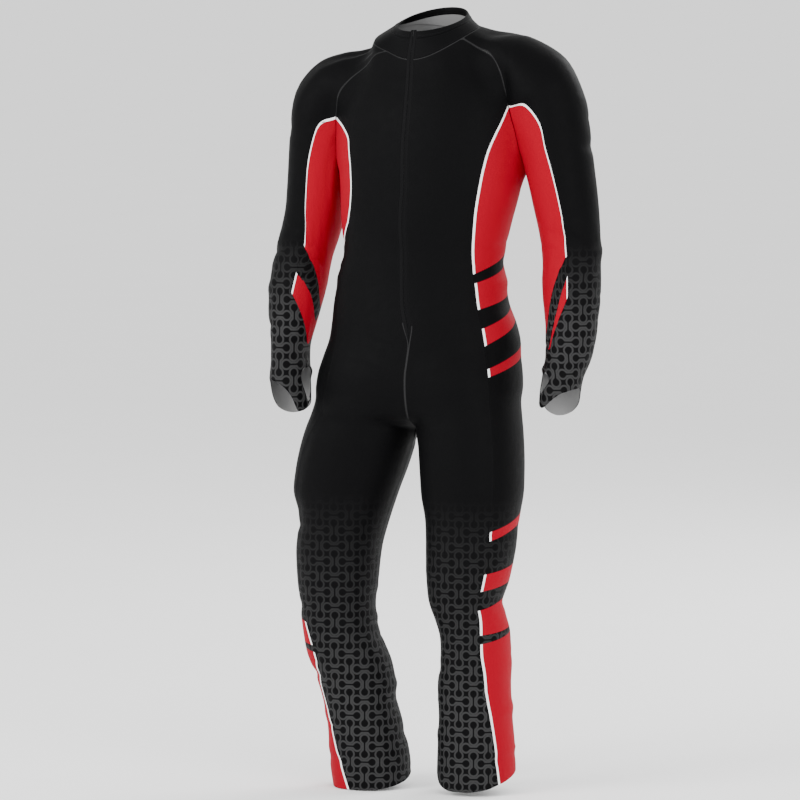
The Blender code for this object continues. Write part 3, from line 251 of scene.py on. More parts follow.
FOLDS = {
    # distance down the limb, angle, span either way, width, height, slope in millimetres per degree
    ("leg", LEFT): (
        (-905, 60, 80, 10, -3.5, 0.1), (-1042, 90, 110, 12, -4, -0.05), (-1066, 215, 90, 9, 3, 0.08),
        (-1015, 200, 80, 11, 3.5, 0.1), (-1172, 275, 70, 10, -2.5, 0.12), (-1245, 120, 100, 12, 3, 0.1),
        (-1290, 250, 90, 11, 3, -0.1), (-1340, 60, 100, 10, -2.5, 0.08), (-700, 300, 40, 7, -1.6, 0.3),
        (-728, 240, 34, 7, -1.5, -0.25), (-960, 20, 50, 7, -1.6, 0.12), (-985, 330, 36, 6, 1.3, -0.1),
        (-1022, 50, 40, 5, -1.6, 0.16), (-1040, 168, 46, 6, -2, 0.1), (-1092, 10, 44, 5, -1.5, -0.14),
        (-1100, 230, 40, 6, -1.7, 0.16), (-1146, 150, 46, 7, -1.5, -0.1), (-1208, 30, 46, 5, -1.5, 0.14),
        (-1226, 320, 34, 5, 1.2, 0.2), (-1272, 200, 50, 6, -1.6, 0.1), (-1302, 0, 60, 6, -1.7, 0.08),
        (-1322, 120, 44, 5, 1.3, -0.14), (-1356, 250, 50, 6, -1.5, 0.1),
    ),
    ("leg", RIGHT): (
        (-905, 70, 80, 10, -3.5, 0.1), (-1060, 90, 110, 12, -3.5, -0.05), (-1085, 205, 90, 9, 3, 0.08),
        (-1030, 190, 80, 11, 3.5, 0.1), (-1188, 75, 70, 9, -4.5, 0.1), (-1210, 250, 80, 12, 3, 0.12),
        (-1262, 110, 90, 11, 3, 0.08), (-1305, 240, 90, 12, -3, -0.08), (-1350, 40, 90, 10, -2.5, 0.06),
        (-704, 300, 40, 7, -1.6, 0.3), (-742, 236, 34, 7, -1.5, -0.25), (-980, 10, 52, 7, -1.6, 0.12),
        (-1006, 320, 36, 6, 1.3, -0.1), (-1040, 30, 42, 5, -1.6, 0.16), (-1058, 170, 46, 6, -2, 0.1),
        (-1104, 350, 46, 5, -1.5, -0.14), (-1120, 226, 40, 6, -1.7, 0.16), (-1164, 20, 42, 5, -1.6, 0.12),
        (-1230, 340, 48, 5, -1.6, 0.14), (-1246, 200, 44, 6, -1.5, 0.1), (-1284, 20, 50, 6, -1.6, -0.1),
        (-1326, 330, 60, 6, -1.7, 0.08), (-1338, 120, 44, 5, 1.3, -0.14), (-1372, 260, 46, 6, -1.4, 0.1),
    ),
    ("torso", LEFT): (
        (-400, 115, 55, 14, -4, 0.25), (-440, 100, 50, 12, 3, 0.2), (-372, 84, 26, 6, -1.8, 0.35),
        (-404, 70, 30, 5, 1.2, 0.3), (-468, 132, 34, 6, -1.6, 0.2), (-236, 72, 22, 6, -1.4, -0.45),
        (-200, 128, 24, 7, -1.6, -0.4), (-560, 24, 20, 5, -1.4, 0.6), (-588, 34, 22, 5, 1.1, 0.55),
    ),
    ("torso", RIGHT): (
        (-385, 112, 55, 14, -4, 0.25), (-432, 100, 50, 12, 3, 0.2), (-366, 80, 26, 6, -1.8, 0.35),
        (-412, 74, 30, 5, 1.2, 0.3), (-462, 130, 34, 6, -1.6, 0.2), (-232, 70, 22, 6, -1.4, -0.45),
        (-206, 128, 24, 7, -1.6, -0.4), (-552, 26, 20, 5, -1.4, 0.6), (-584, 38, 24, 5, 1.2, 0.55),
    ),
    ("arm", LEFT): (
        (330, 100, 80, 12, -3, 0.15), (492, 30, 75, 11, -4, 0.2), (520, 130, 75, 12, 3.5, -0.12),
        (560, 20, 80, 11, 3, 0.15), (640, 60, 90, 10, -2.5, 0.08), (452, 20, 48, 5, -1.8, 0.25),
        (474, -12, 40, 4, -1.6, -0.2), (488, 48, 34, 4, 1.5, 0.3), (508, -30, 44, 5, -1.9, 0.15),
        (536, 62, 36, 4, -1.3, -0.25), (505, 172, 42, 6, -1.6, 0.1), (540, 200, 36, 5, 1.5, -0.12),
        (605, 110, 40, 5, -1.2, 0.12), (668, 12, 50, 4, -1.3, 0.1), (690, 150, 48, 5, -1.4, -0.12),
        (286, 130, 40, 6, -1.5, 0.2), (372, 60, 38, 6, -1.2, -0.22), (751, -80, 40, 8, 5, 0),
    ),
    ("arm", RIGHT): (
        (268, 90, 60, 12, -3.5, 0.12), (500, 30, 75, 11, -4, 0.2), (530, 120, 75, 12, 3.5, -0.12),
        (575, 30, 80, 11, 3, 0.15), (650, 60, 90, 10, -2.5, 0.08), (458, 25, 46, 5, -1.8, 0.24),
        (478, -22, 40, 4, -1.5, -0.22), (498, 70, 34, 4, 1.4, 0.28), (516, -34, 44, 5, -1.8, 0.15),
        (545, 50, 38, 4, -1.3, -0.22), (520, 178, 42, 6, -1.6, 0.1), (552, 210, 36, 5, 1.4, -0.12),
        (612, 100, 42, 5, -1.2, 0.12), (672, 20, 50, 4, -1.3, 0.1), (700, 150, 44, 5, -1.3, -0.12),
        (300, 125, 40, 6, -1.5, 0.2), (262, -48, 20, 2.4, -1.6, 0.55), (274, -44, 17, 2, -1.3, 0.75),
        (740, -112, 40, 9, 4.5, 0),
    ),
}
# how the figure's parts are joined
ARM_FOOT, LEAST_BLEND = -900, 0.02
LIFT_TOP, LIFT_SLOPE, END_SLOPE = -300, 4, 3
HALF_TOP, HALF_RUN, HALF_SHIFT = -360, 320, 34
CROTCH_STEPS, CROTCH_SHARE = 24, 0.62
THUMB_POINTS, THUMB_POWER = 11, 0.75

COLLAR_CENTRE = (-2, -6)
COLLAR_TOP_HALF, COLLAR_TOP_DEPTH = 65, 68
COLLAR_TOP_MEAN, COLLAR_TOP_SLOPE = 48, 21
COLLAR_TURN = 12
COLLAR_ROWS, COLLAR_ROW_STEPS, COLLAR_COLUMN_STEPS, ZIP_STEPS = 3, 8, 4, 10
# how far the binding stands out and swells, and the half circle of its turn: its middle and its rise
BINDING_PROUD, BINDING_SWELL, BINDING_TURN, BINDING_RISE = 0.25 * MM, 0.35 * MM, 1.6 * MM, 2.4 * MM
# pitch, length and radius
STITCH = (3.1 * MM, 2.5 * MM, 0.26 * MM)
TOOTH = (1.5 * MM, 1.3 * MM, 0.5 * MM)
TEETH_SWAY = 0.35 * MM
# in millimetres: lift of the teeth, length and depth of the tapes' sunk upper end
TEETH_LIFT, SUNK_RUN, SUNK_DEPTH = 0.15, 3.0, 0.6
SLIT_SHARE = 0.03
ZIP_END_RISE = 3 * MM
CROTCH_FOOT = -697

HIP_BANDS = ((-422, -391), (-439, -413), (-488, -466), (-523, -491), (-555, -517), (-597, -566), (-612, -586))
BANDS = {
    # height at the front seam and 90 mm behind it; the colour changes at each line, red above the first
    "side_left": (*HIP_BANDS, (-902, -875), (-919, -895), (-982, -968), (-1015, -1001), (-1052, -1034),
                  (-1099, -1089), (-1116, -1099)),
    "side_right": (*HIP_BANDS, (-938, -911), (-955, -931), (-1018, -1004), (-1051, -1037), (-1088, -1068),
                   (-1132, -1122), (-1146, -1129)),
    # distance down the sleeve at the seams and 90 mm in from them
    "underarm_left": ((527, 630), (571, 690)),
    "underarm_right": ((487, 568), (556, 615)),
}
BAND_REACH = 90
EDGE_LINE = 4.6
# height and how far behind the front seam the red starts
SET_BACK = {
    "side_left": ((0, 0), (-1400, 0)),
    "side_right": ((-300, 0), (-330, 4), (-360, 20), (-385, 42), (-520, 46), (-612, 66), (-640, 66), (-900, 32),
                   (-1060, 32), (-1075, 0)),
}

PITCH, ROW_PITCH = 29.2, 29.5
# in pitches: the discs, the bars between them and the line drawn round both
DISC_RADIUS, BAR_HALF_WIDTH, DISC_FILLET = 0.225, 0.045, 0.16
LINE_PLACE, LINE_SHARPNESS, LINE_SHARE = 0.062, 26.0, 2.05
LATTICE = {
    # picture column and number of one column of discs, height of one row
    "leg": {LEFT: (466.0, 9, -1107.4), RIGHT: (356.6, 2, -1115.1)},
    "arm": {LEFT: (574.0, 1, -543.8), RIGHT: (286.0, 1, -538.7)},
}
FADE = {"leg": (-840, -1229), "arm": (-365, -515)}

PIXEL = 1.87 * MM
AZIMUTH, ELEVATION = math.radians(25), math.radians(5)
VIEW_RIGHT = np.array([math.cos(AZIMUTH), math.sin(AZIMUTH), 0.0])
VIEW_UP = np.array([-math.sin(AZIMUTH) * math.sin(ELEVATION), math.cos(AZIMUTH) * math.sin(ELEVATION),
                    math.cos(ELEVATION)])
TOWARD = np.array([math.sin(AZIMUTH) * math.cos(ELEVATION), -math.cos(AZIMUTH) * math.cos(ELEVATION),
                   math.sin(ELEVATION)])
NECK_PIXEL = (435, 45)

# in millimetres: the knit's stitch, its rows, the row of sewing beside a seam and its stitches
WALE_PITCH, COURSE_PITCH, SEWN_AT, SEWN_PITCH = 1.15, 0.9, 2.3, 2.9

BLACK = (0.0016, 0.0016, 0.0018)
PRINT_GREY = (0.027, 0.027, 0.0275)
SEAM_GREY = (0.022, 0.022, 0.0225)
RED = (0.27, 0.0, 0.010)
DARK_RED = (0.035, 0.0006, 0.002)
WHITE = (0.90, 0.90, 0.90)
INSIDE_GREY = (0.17, 0.17, 0.17)
THREAD = (0.005, 0.005, 0.0055)
TEETH = (0.003, 0.003, 0.0033)

WORLD_STRENGTH = 1.5
LIT_POINT = (0.0, 0.0, -0.7)
LIGHTS = (
    # name, place, size, power
    ("key", (-2.6, -4.2, 1.4), 2.6, 240),
    ("fill", (4.0, -3.0, 0.6), 3.0, 150),
    ("back", (1.5, 4.0, 1.8), 2.6, 200),
)
FLOOR_DROP, FLOOR_HALF = 1.5 * MM, 400.0
PICTURE, SENSOR, CAMERA_DISTANCE = 800, 36.0, 12.0


def unit(vectors):
    """The vectors of the last axis at length one."""
    return vectors / np.linalg.norm(vectors, axis=-1, keepdims=True)


def level(side, angle):
    """Level directions at angles counted from the front toward one side."""
    return np.stack([side * np.sin(angle), -np.cos(angle), np.zeros_like(angle)], axis=1)


def through(keys, values, at):
    """Values of a smooth curve through the given rows, read at any key."""
    slopes = np.gradient(values, keys, axis=0)
    at = np.clip(at, keys[0], keys[-1])
    cell = np.clip(np.searchsorted(keys, at) - 1, 0, len(keys) - 2)
    span = (keys[cell + 1] - keys[cell])[:, None]
    t = (at - keys[cell])[:, None] / span
    start = (1 + 2 * t) * (1 - t) ** 2 * values[cell] + t * (1 - t) ** 2 * span * slopes[cell]
    end = t * t * (3 - 2 * t) * values[cell + 1] + t * t * (t - 1) * span * slopes[cell + 1]
    return start + end


class Column:
    """A tube that stands on end, given by level sections."""

    def __init__(self, rows):
        table = np.array(rows, float)[::-1]
        table[:, :6] *= MM
        table[:, 6] = np.radians(table[:, 6])
        self.keys = table[:, 0]
        self.values = table[:, 1:]

    def section(self, z):
        return through(self.keys, self.values, z).T

    def field(self, p):
        """Distance out of the tube, along the line from its centre."""
        cx, cy, half, ahead_depth, behind_depth, turn = self.section(p[:, 2])
        dx = p[:, 0] - cx
        dy = p[:, 1] - cy
        across = dx * np.cos(turn) - dy * np.sin(turn) + 1e-9
        ahead = -dx * np.sin(turn) - dy * np.cos(turn)
        depth = np.where(ahead > 0, ahead_depth, behind_depth)
        powers = (np.abs(across) / half) ** ROUNDNESS + (np.abs(ahead) / depth) ** ROUNDNESS
        reach = np.hypot(across, ahead)
        below = np.maximum(self.keys[0] - p[:, 2], 0)
        return reach - reach / powers ** (1 / ROUNDNESS) + END_SLOPE * below


class Limb:
    """A tube along a bent axis, with oval sections square to it."""

    STEPS = 40

    def __init__(self, rows, side):
        table = np.array(rows, float) * MM
        lengths = np.linalg.norm(np.diff(table[:, :3], axis=0), axis=1)
        self.keys = np.concatenate(([0], np.cumsum(lengths)))
        self.values = table
        self.length = self.keys[-1]
        self.side = side
        self.at = np.linspace(0, self.length, self.STEPS + 1)
        self.points = through(self.keys, table, self.at)[:, :3]

    def centre(self, s):
        return through(self.keys, self.values, s)[:, :3]

    def frame(self, s):
        """Front and outer directions square to the axis at station s."""
        step = 4 * MM
        tangent = unit(self.centre(np.minimum(s + step, self.length)) - self.centre(np.maximum(s - step, 0)))
        front = unit(np.array([0.0, -1.0, 0.0]) + tangent * tangent[:, 1:2])
        return front, self.side * np.cross(front, tangent)

    def nearest(self, p):
        """Station on the axis nearest to each point."""
        start = self.points[:-1]
        run = np.diff(self.points, axis=0)
        size = (run ** 2).sum(axis=1)
        best = np.full(len(p), 1e9)
        station = np.zeros(len(p))
        for k in range(len(start)):
            t = np.clip(((p - start[k]) @ run[k]) / size[k], 0, 1)
            gap = ((p - start[k] - t[:, None] * run[k]) ** 2).sum(axis=1)
            nearer = gap < best
            best = np.where(nearer, gap, best)
            station = np.where(nearer, self.at[k] + t * (self.at[k + 1] - self.at[k]), station)
        return station

    def locate(self, p):
        """Station and angle of points near the tube."""
        s = self.nearest(p)
        front, outer = self.frame(s)
        off = p - self.centre(s)
        return s, np.arctan2((off * outer).sum(axis=1), (off * front).sum(axis=1))

    def field(self, p):
        s = self.nearest(p)
        values = through(self.keys, self.values, s)
        front, outer = self.frame(s)
        off = p - values[:, :3]
        u = (off * outer).sum(axis=1) + 1e-9
        w = (off * front).sum(axis=1)
        ratio = np.hypot(u / values[:, 3], w / values[:, 4])
        return np.linalg.norm(off, axis=1) - np.hypot(u, w) / ratio


def blend(a, b, width):
    """The lesser of two fields, rounded where they are within width of each other."""
    near = np.maximum(width - np.abs(a - b), 0) / width
    return np.minimum(a, b) - near * near * width / 4


TORSO_TUBE = Column(TORSO)
LEG_TUBES = {side: Column(rows) for side, rows in LEGS.items()}
ARM_TUBES = {side: Limb(rows, side) for side, rows in ARMS.items()}


def trunk_field(p):
    """Torso and legs."""
    lower = blend(LEG_TUBES[LEFT].field(p), LEG_TUBES[RIGHT].field(p), LEG_BLEND)
    return blend(TORSO_TUBE.field(p), lower, HIP_BLEND)


def add_arm(trunk, p, side, lift=0.0):
    """Trunk joined to one arm; lift takes the arm's share away."""
    out = trunk.copy()
    near = (side * p[:, 0] > 0) & (p[:, 2] > ARM_FOOT * MM)
    if near.any():
        arm = ARM_TUBES[side].field(p[near]) + (lift[near] if np.ndim(lift) else lift)
        width = ARM_BLEND * np.clip((p[near, 2] / MM - WEB_END[side]) / WEB_FADE, LEAST_BLEND, 1)
        out[near] = blend(trunk[near], arm, width)
    return out


def figure_field(p):
    """Negative inside the figure, zero on the surface that the cloth follows."""
    return add_arm(add_arm(trunk_field(p), p, LEFT), p, RIGHT)


def front_field(p):
    """The figure without its arms below the armpits."""
    lift = LIFT_SLOPE * np.maximum(LIFT_TOP * MM - p[:, 2], 0)
    return add_arm(add_arm(trunk_field(p), p, LEFT, lift), p, RIGHT, lift)


def shoulder_field(p, side):
    """One arm, with the trunk beside its upper end only."""
    arm = ARM_TUBES[side]
    beyond = np.maximum(arm.nearest(p) - SHOULDER_END[side] * MM, 0)
    return blend(trunk_field(p) + LIFT_SLOPE * beyond, arm.field(p), ARM_BLEND)


def cast(origin, direction, field=figure_field):
    """Where rays that start inside a field first leave it."""
    coarse_steps, coarse_share, fine_steps = 16, 0.75, 4
    step, least_slope, longest = 0.1 * MM, 0.15, 10 * MM
    t = np.zeros(len(origin))
    for _ in range(coarse_steps):
        t = np.maximum(t - coarse_share * field(origin + t[:, None] * direction), 0)
    for _ in range(fine_steps):
        here = field(origin + t[:, None] * direction)
        further = field(origin + (t + step)[:, None] * direction)
        slope = np.maximum((further - here) / step, least_slope)
        t = t - np.clip(here / slope, -longest, longest)
    return origin + t[:, None] * direction


def normals(p, field=figure_field):
    step = 0.5 * MM
    out = np.empty_like(p)
    for axis in range(3):
        shift = np.zeros(3)
        shift[axis] = step
        out[:, axis] = field(p + shift) - field(p - shift)
    return unit(out)


def body_points(z, angle, side, field=figure_field):
    """Points of the torso at heights z and section angles, counted toward one side."""
    z = np.atleast_1d(np.asarray(z, float))
    cx, cy, _, _, _, turn = TORSO_TUBE.section(z)
    return cast(np.stack([cx, cy, z], axis=1), level(1, side * np.radians(angle) - turn), field)


def leg_points(z, angle, side):
    """Points of one leg at heights z and angles round its centre."""
    z = np.atleast_1d(np.asarray(z, float))
    cx, cy = LEG_TUBES[side].section(z)[:2]
    return cast(np.stack([cx, cy, z], axis=1), level(side, np.radians(angle) + 0 * z), trunk_field)


def half_axis(z, side):
    """A line inside one half of the torso that runs on down the leg."""
    tx, ty = TORSO_TUBE.section(z)[:2]
    lx, ly = LEG_TUBES[side].section(z)[:2]
    share = np.clip((HALF_TOP * MM - z) / (HALF_RUN * MM), 0, 1)
    share = share * share * (3 - 2 * share)
    return tx + (1 - share) * side * HALF_SHIFT * MM + share * (lx - tx), ty + share * (ly - ty)


class HalfBody:
    """Heights and angles round the half axis, as a map of one half of torso and leg."""

    def __init__(self, side, field):
        self.side = side
        self.field = field

    def locate(self, p):
        x, y = half_axis(p[:, 2], self.side)
        return p[:, 2], np.arctan2(self.side * (p[:, 0] - x), -(p[:, 1] - y))

    def surface(self, z, angle):
        x, y = half_axis(z, self.side)
        return cast(np.stack([x, y, z], axis=1), level(self.side, angle), self.field)

    def fold(self, p):
        tx, ty, _, _, _, turn = TORSO_TUBE.section(p[:, 2])
        lx, ly = LEG_TUBES[self.side].section(p[:, 2])[:2]
        torso_angle = np.arctan2(p[:, 0] - tx, -(p[:, 1] - ty)) + turn
        leg_angle = np.arctan2(self.side * (p[:, 0] - lx), -(p[:, 1] - ly))
        height = fold_height("torso", self.side, p[:, 2], self.side * torso_angle)
        return height + fold_height("leg", self.side, p[:, 2], leg_angle)


class Sleeve:
    """Distances down the sleeve and angles round its axis, as a map of the sleeve."""

    def __init__(self, side, field):
        self.side = side
        self.tube = ARM_TUBES[side]
        self.field = field

    def locate(self, p):
        return self.tube.locate(p)

    def surface(self, s, angle):
        front, outer = self.tube.frame(s)
        direction = np.cos(angle)[:, None] * front + np.sin(angle)[:, None] * outer
        return cast(self.tube.centre(s), direction, self.field)

    def fold(self, p):
        s, angle = self.tube.locate(p)
        return fold_height("arm", self.side, s, angle)


def fold_height(limb, side, station, angle):
    """Height of the cloth's soft folds and creases above the figure."""
    total = np.zeros_like(station)
    degrees = np.degrees(angle)
    for at, centre, span, width, height, slope in FOLDS[limb, side]:
        away = (degrees - centre + 180) % 360 - 180
        middle = (at + slope * away) * MM
        ends = np.clip(1 - (away / span) ** 2, 0, 1) ** 1.5
        total += height * MM * ends * np.exp(-((station - middle) / (width * MM)) ** 2)
    return total


def unwrap(angles, start):
    """Angles along a line made continuous, the first one nearest to start."""
    out = np.unwrap(angles)
    return out + 2 * math.pi * np.round((start - out[0]) / (2 * math.pi))


def resample(points, count):
    """A line of points read again at equal steps along its length."""
    lengths = np.concatenate(([0], np.cumsum(np.linalg.norm(np.diff(points, axis=0), axis=1))))
    at = np.linspace(0, lengths[-1], count)
    return np.stack([np.interp(at, lengths, points[:, k]) for k in range(3)], axis=1)


def between(first, last, top, bottom, power):
    """Values over a grid that meet four edges and fade from them toward the middle."""
    u = np.linspace(0, 1, len(top))[None, :, None]
    v = np.linspace(0, 1, len(first))[:, None, None]
    near_first, near_last, near_top, near_bottom = (1 - u) ** power, u ** power, (1 - v) ** power, v ** power
    sides = near_first * first[:, None] + near_last * last[:, None]
    upper = top[None] - near_first * first[0] - near_last * last[0]
    lower = bottom[None] - near_first * first[-1] - near_last * last[-1]
    return sides + near_top * upper + near_bottom * lower


def patch(chart, first, last, top, bottom, starts, even_rows=False, parted=0):
    """A grid of surface points between four seams.

    first and last run down the two sides, top and bottom run across and get their ends from them;
    starts holds the angles, in degrees, near which first and last begin. With even rows the sides'
    uneven steps soon fade out. In the last parted rows both sides are one seam, and what parts them
    soon fades out.
    """
    top[0], top[-1], bottom[0], bottom[-1] = first[0], last[0], first[-1], last[-1]
    lines = [np.stack(chart.locate(line), axis=1) for line in (first, last, top, bottom)]
    for line, start in zip(lines, (*np.radians(starts), None, None)):
        if start is None:
            start = lines[0][0 if line is lines[2] else -1, 1]
        line[:, 1] = unwrap(line[:, 1], start)
    still = np.zeros_like(lines[2])
    if even_rows:
        share = np.linspace(0, 1, len(first))[:, None, None]
        places = lines[2][None] * (1 - share) + lines[3][None] * share
        places = places + between(lines[0] - places[:, 0], lines[1] - places[:, -1], still, still, 3)
    else:
        half = np.zeros_like(lines[0])
        if parted:
            half[-parted:] = (lines[0][-parted:] - lines[1][-parted:] + (0, 2 * math.pi)) / 2
        places = (between(lines[0] - half, lines[1] + half, *lines[2:], 1)
                  + between(half, -half, still, still, FADE_POWER))
    points = chart.surface(places[..., 0].ravel(), places[..., 1].ravel()).reshape(*places.shape[:2], 3)
    return points + between(first - points[:, 0], last - points[:, -1], top - points[0], bottom - points[-1],
                            FADE_POWER)


def pull_in(points):
    """The grid with its two end columns drawn inward along the cloth by half a seam's gap."""
    out = points.copy()
    for edge, beside in ((0, 1), (-1, -2)):
        out[:, edge] += unit(points[:, beside] - points[:, edge]) * (SEAM_GAP / 2)
    return out


def neck_height(angle):
    """Height of the neck seam at a section angle in degrees."""
    turn = np.radians(angle)
    return (NECK_MEAN - NECK_SLOPE * np.cos(turn) - NECK_SADDLE * np.cos(2 * turn)) * MM


def neck_line(first, last, count, side):
    """Points of the neck seam between two section angles."""
    angle = np.linspace(first, last, count)
    return body_points(neck_height(angle), angle, side)


def hem_height(side, angle):
    table = np.array(HEM[side], float)
    return np.interp(np.asarray(angle) % 360, table[:, 0], table[:, 1]) * MM


def hem_line(side, first, last, count):
    """Points of the hem between two angles round the leg."""
    angle = np.linspace(first, last, count)
    return leg_points(hem_height(side, angle), angle, side)


def raglan(rows, side):
    """A seam from the neck down to the top of the armhole."""
    table = np.array(rows, float)
    line = body_points(table[:, 0] * MM, table[:, 1], side)
    line[0] = body_points(neck_height(table[0, 1]), table[0, 1], side)[0]
    return line


class Seams:
    """The seam lines of one half of the suit, as points on the figure."""

    def __init__(self, side):
        self.side = side
        self.body = HalfBody(side, front_field)
        self.trunk = HalfBody(side, trunk_field)
        self.raglan_front = raglan(RAGLAN_FRONT[side], side)
        self.raglan_back = raglan(RAGLAN_BACK[side], side)
        apex = SIDE_FRONT[side][0][0]
        upper = np.linspace(apex, BODY_HEIGHTS[0], APEX_ROWS + 1)[:-1]
        self.heights = np.concatenate([upper, BODY_HEIGHTS]) * MM
        self.side_front = self.side_seam(SIDE_FRONT[side], LEG_FRONT[side], self.raglan_front[-1])
        self.side_back = self.side_seam(SIDE_BACK[side], LEG_BACK[side], self.raglan_back[-1])
        self.outer_front = np.concatenate([self.raglan_front[:-1], self.side_front])
        self.outer_back = np.concatenate([self.raglan_back[:-1], self.side_back])
        self.centre_front = self.inner_edge(0, self.outer_front)
        self.centre_back = self.inner_edge(180, self.outer_back)
        self.armhole = self.armhole_seam()

    def side_seam(self, torso_rows, leg_rows, start):
        """From the armhole down torso and leg to the hem."""
        torso = np.array(torso_rows, float)
        leg = np.array(leg_rows, float)
        known = np.concatenate([body_points(torso[:, 0] * MM, torso[:, 1], self.side, front_field),
                                leg_points(leg[:, 0] * MM, leg[:, 1], self.side)])
        z, angle = self.body.locate(known)
        order = np.argsort(z)
        heights = self.rows_to_hem(hem_height(self.side, leg[-1, 1]))
        turned = through(z[order], np.unwrap(angle[order])[:, None], heights)[:, 0]
        line = self.body.surface(heights, turned)
        line[0] = start
        return line

    def rows_to_hem(self, hem):
        """Heights of all rows, those of the lower leg spread to end at the hem."""
        top = INSEAM_TOP * MM
        spread = (hem - top) / (HEM_MEAN * MM - top)
        heights = np.where(self.heights < top, top + (self.heights - top) * spread, self.heights)
        return np.append(heights, hem)

    def inner_edge(self, angle, outer):
        """Down the centre from neck to crotch and down the inside of the leg to the hem."""
        inseam_top = INSEAM_TOP * MM
        heights = centre_heights(angle)
        leg_rows = int((self.heights < inseam_top - MM).sum()) + 1
        crotch_rows = len(outer) - len(heights) - leg_rows
        upper = round(CROTCH_SHARE * crotch_rows)
        offset = np.zeros_like(heights)
        if angle == 0:
            reach = np.linalg.norm(body_points(heights, 0, self.side, front_field)[:, :2]
                                   - TORSO_TUBE.section(heights)[:2].T, axis=1)
            half = np.full(len(heights), ZIP_WIDTH / 2)
            half[zip_rows(heights):] = 0
            half[zip_rows(heights)] = ZIP_FOOT / 2
            offset = np.degrees(half / reach)
            self.zip_edge = offset[0]
        torso_part = body_points(heights, angle + offset, self.side, front_field)
        crotch = crotch_line(torso_part[-1])
        crotch_part = resample(crotch, upper + 1)[1:]
        thigh = np.linspace(crotch[-1, 2], inseam_top, crotch_rows - upper + 1)[1:]
        below = self.rows_to_hem(hem_height(self.side, INSEAM_ANGLE))[-leg_rows:]
        inseam = leg_points(np.concatenate([thigh, below]), INSEAM_ANGLE, self.side)
        return np.concatenate([torso_part, crotch_part, inseam])

    def armhole_seam(self):
        """From the front end of the raglan down under the arm and up to its back end."""
        x0, y0, z0 = (value * MM for value in ARMHOLE_CENTRE[self.side])
        front, back = self.raglan_front[-1], self.raglan_back[-1]
        start, end = (math.atan2(y0 - point[1], z0 - point[2]) for point in (front, back))
        count = ARMHOLE_STEPS + 1
        turn = np.linspace(start, end, count)
        share = np.linspace(0, 1, count)
        x = front[0] + (back[0] - front[0]) * share
        x = x + (x0 - x) * np.sin(math.pi * share)
        origin = np.stack([x, np.full(count, y0), np.full(count, z0)], axis=1)
        direction = np.stack([np.zeros(count), -np.sin(turn), -np.cos(turn)], axis=1)
        line = cast(origin, direction)
        line[0], line[-1] = front, back
        return line


def centre_heights(angle):
    """Heights of the rows down the centre seam, from the neck to the top of the crotch's curve."""
    yoke = np.linspace(neck_height(angle), YOKE_FOOT * MM, len(RAGLAN_FRONT[LEFT]))
    chest = np.linspace(YOKE_FOOT, BODY_HEIGHTS[0], APEX_ROWS + 1)[1:] * MM
    return np.concatenate([yoke, chest, [z * MM for z in BODY_HEIGHTS[1:] if z >= CROTCH_TOP]])


def zip_rows(heights):
    """Number of rows down the centre front that the zip runs along."""
    return int(np.argmin(np.abs(heights - ZIP_END * MM))) + 1


def crotch_line(start):
    """Centre seam from the top of the crotch's curve round to the point between the legs."""
    centre = np.array(CROTCH_CENTRE) * MM
    run = start - centre
    level = math.hypot(run[0], run[1])
    ahead = run[:2] / level
    tilt = np.linspace(math.atan2(-run[2], level), math.pi / 2, CROTCH_STEPS)[1:]
    direction = np.stack([ahead[0] * np.cos(tilt), ahead[1] * np.cos(tilt), -np.sin(tilt)], axis=1)
    below = cast(np.repeat(centre[None], len(tilt), axis=0), direction, trunk_field)
    return np.concatenate([start[None], below])


def sleeve_line(chart, rows, start):
    """A seam down the sleeve from the end of the raglan."""
    keys, angles = np.array(rows, float).T
    at = np.linspace(keys[0], keys[-1], SLEEVE_STEPS) * MM
    turned = through(keys * MM, angles[:, None], at)[:, 0]
    return np.concatenate([start[None], chart.surface(at, np.radians(turned))])


def cuff_station(side, angle):
    table = np.array(CUFF[side], float)
    return np.interp((angle + 90) % 360 - 90, table[:, 0], table[:, 1]) * MM


def wrist_seam(chart, side, start):
    """Both edges of the seam inside the wrist; they part round the thumb and meet again."""
    station, angle = chart.locate(start[None])
    station, angle = station[0], math.degrees(angle[0])
    end_angle = WRIST_SEAM_END[side]
    end = cuff_station(side, np.array([end_angle]))[0]
    top = THUMB_TOP[side] * MM
    bottom = top + THUMB_LENGTH[side] * MM
    at = np.concatenate([[(station + top) / 2], np.linspace(top, bottom, THUMB_POINTS), [end]])
    share = np.clip((at - station) / (top - station), 0, 1)
    middle = angle + (end_angle - angle) * share
    opening = np.sin(math.pi * np.clip((at - top) / (bottom - top), 0, 1) ** THUMB_POWER)
    parted = np.degrees(opening * THUMB_HALF_WIDTH[side] / WRIST_RADIUS)
    return chart.surface(at, np.radians(middle + parted)), chart.surface(at, np.radians(middle - parted))


def collar_frame(foot):
    """Top of the collar above each point of its foot, the way up to it and the way out."""
    centre = np.array([*COLLAR_CENTRE, 0.0]) * MM
    turn = math.radians(COLLAR_TURN)
    off = foot - centre
    angle = np.arctan2(off[:, 0], -off[:, 1]) + turn
    across = COLLAR_TOP_HALF * MM * np.sin(angle)
    ahead = COLLAR_TOP_DEPTH * MM * np.cos(angle)
    top = np.stack([
        centre[0] + across * math.cos(turn) - ahead * math.sin(turn),
        centre[1] - across * math.sin(turn) - ahead * math.cos(turn),
        (COLLAR_TOP_MEAN - COLLAR_TOP_SLOPE * np.cos(angle)) * MM], axis=1)
    rise = unit(top - foot)
    outward = unit(np.cross(np.gradient(foot, axis=0), rise))
    if (outward * off).sum() < 0:
        outward = -outward
    return top, rise, outward


ROW_STEPS, COLUMN_STEPS, SLEEVE_COLUMN_STEPS = 6, 5, 3
SHARP_ANGLE = math.radians(48)
FAR = 99.0
RAGLAN_CELLS = len(RAGLAN_FRONT[LEFT]) - 1
PANELS = {}


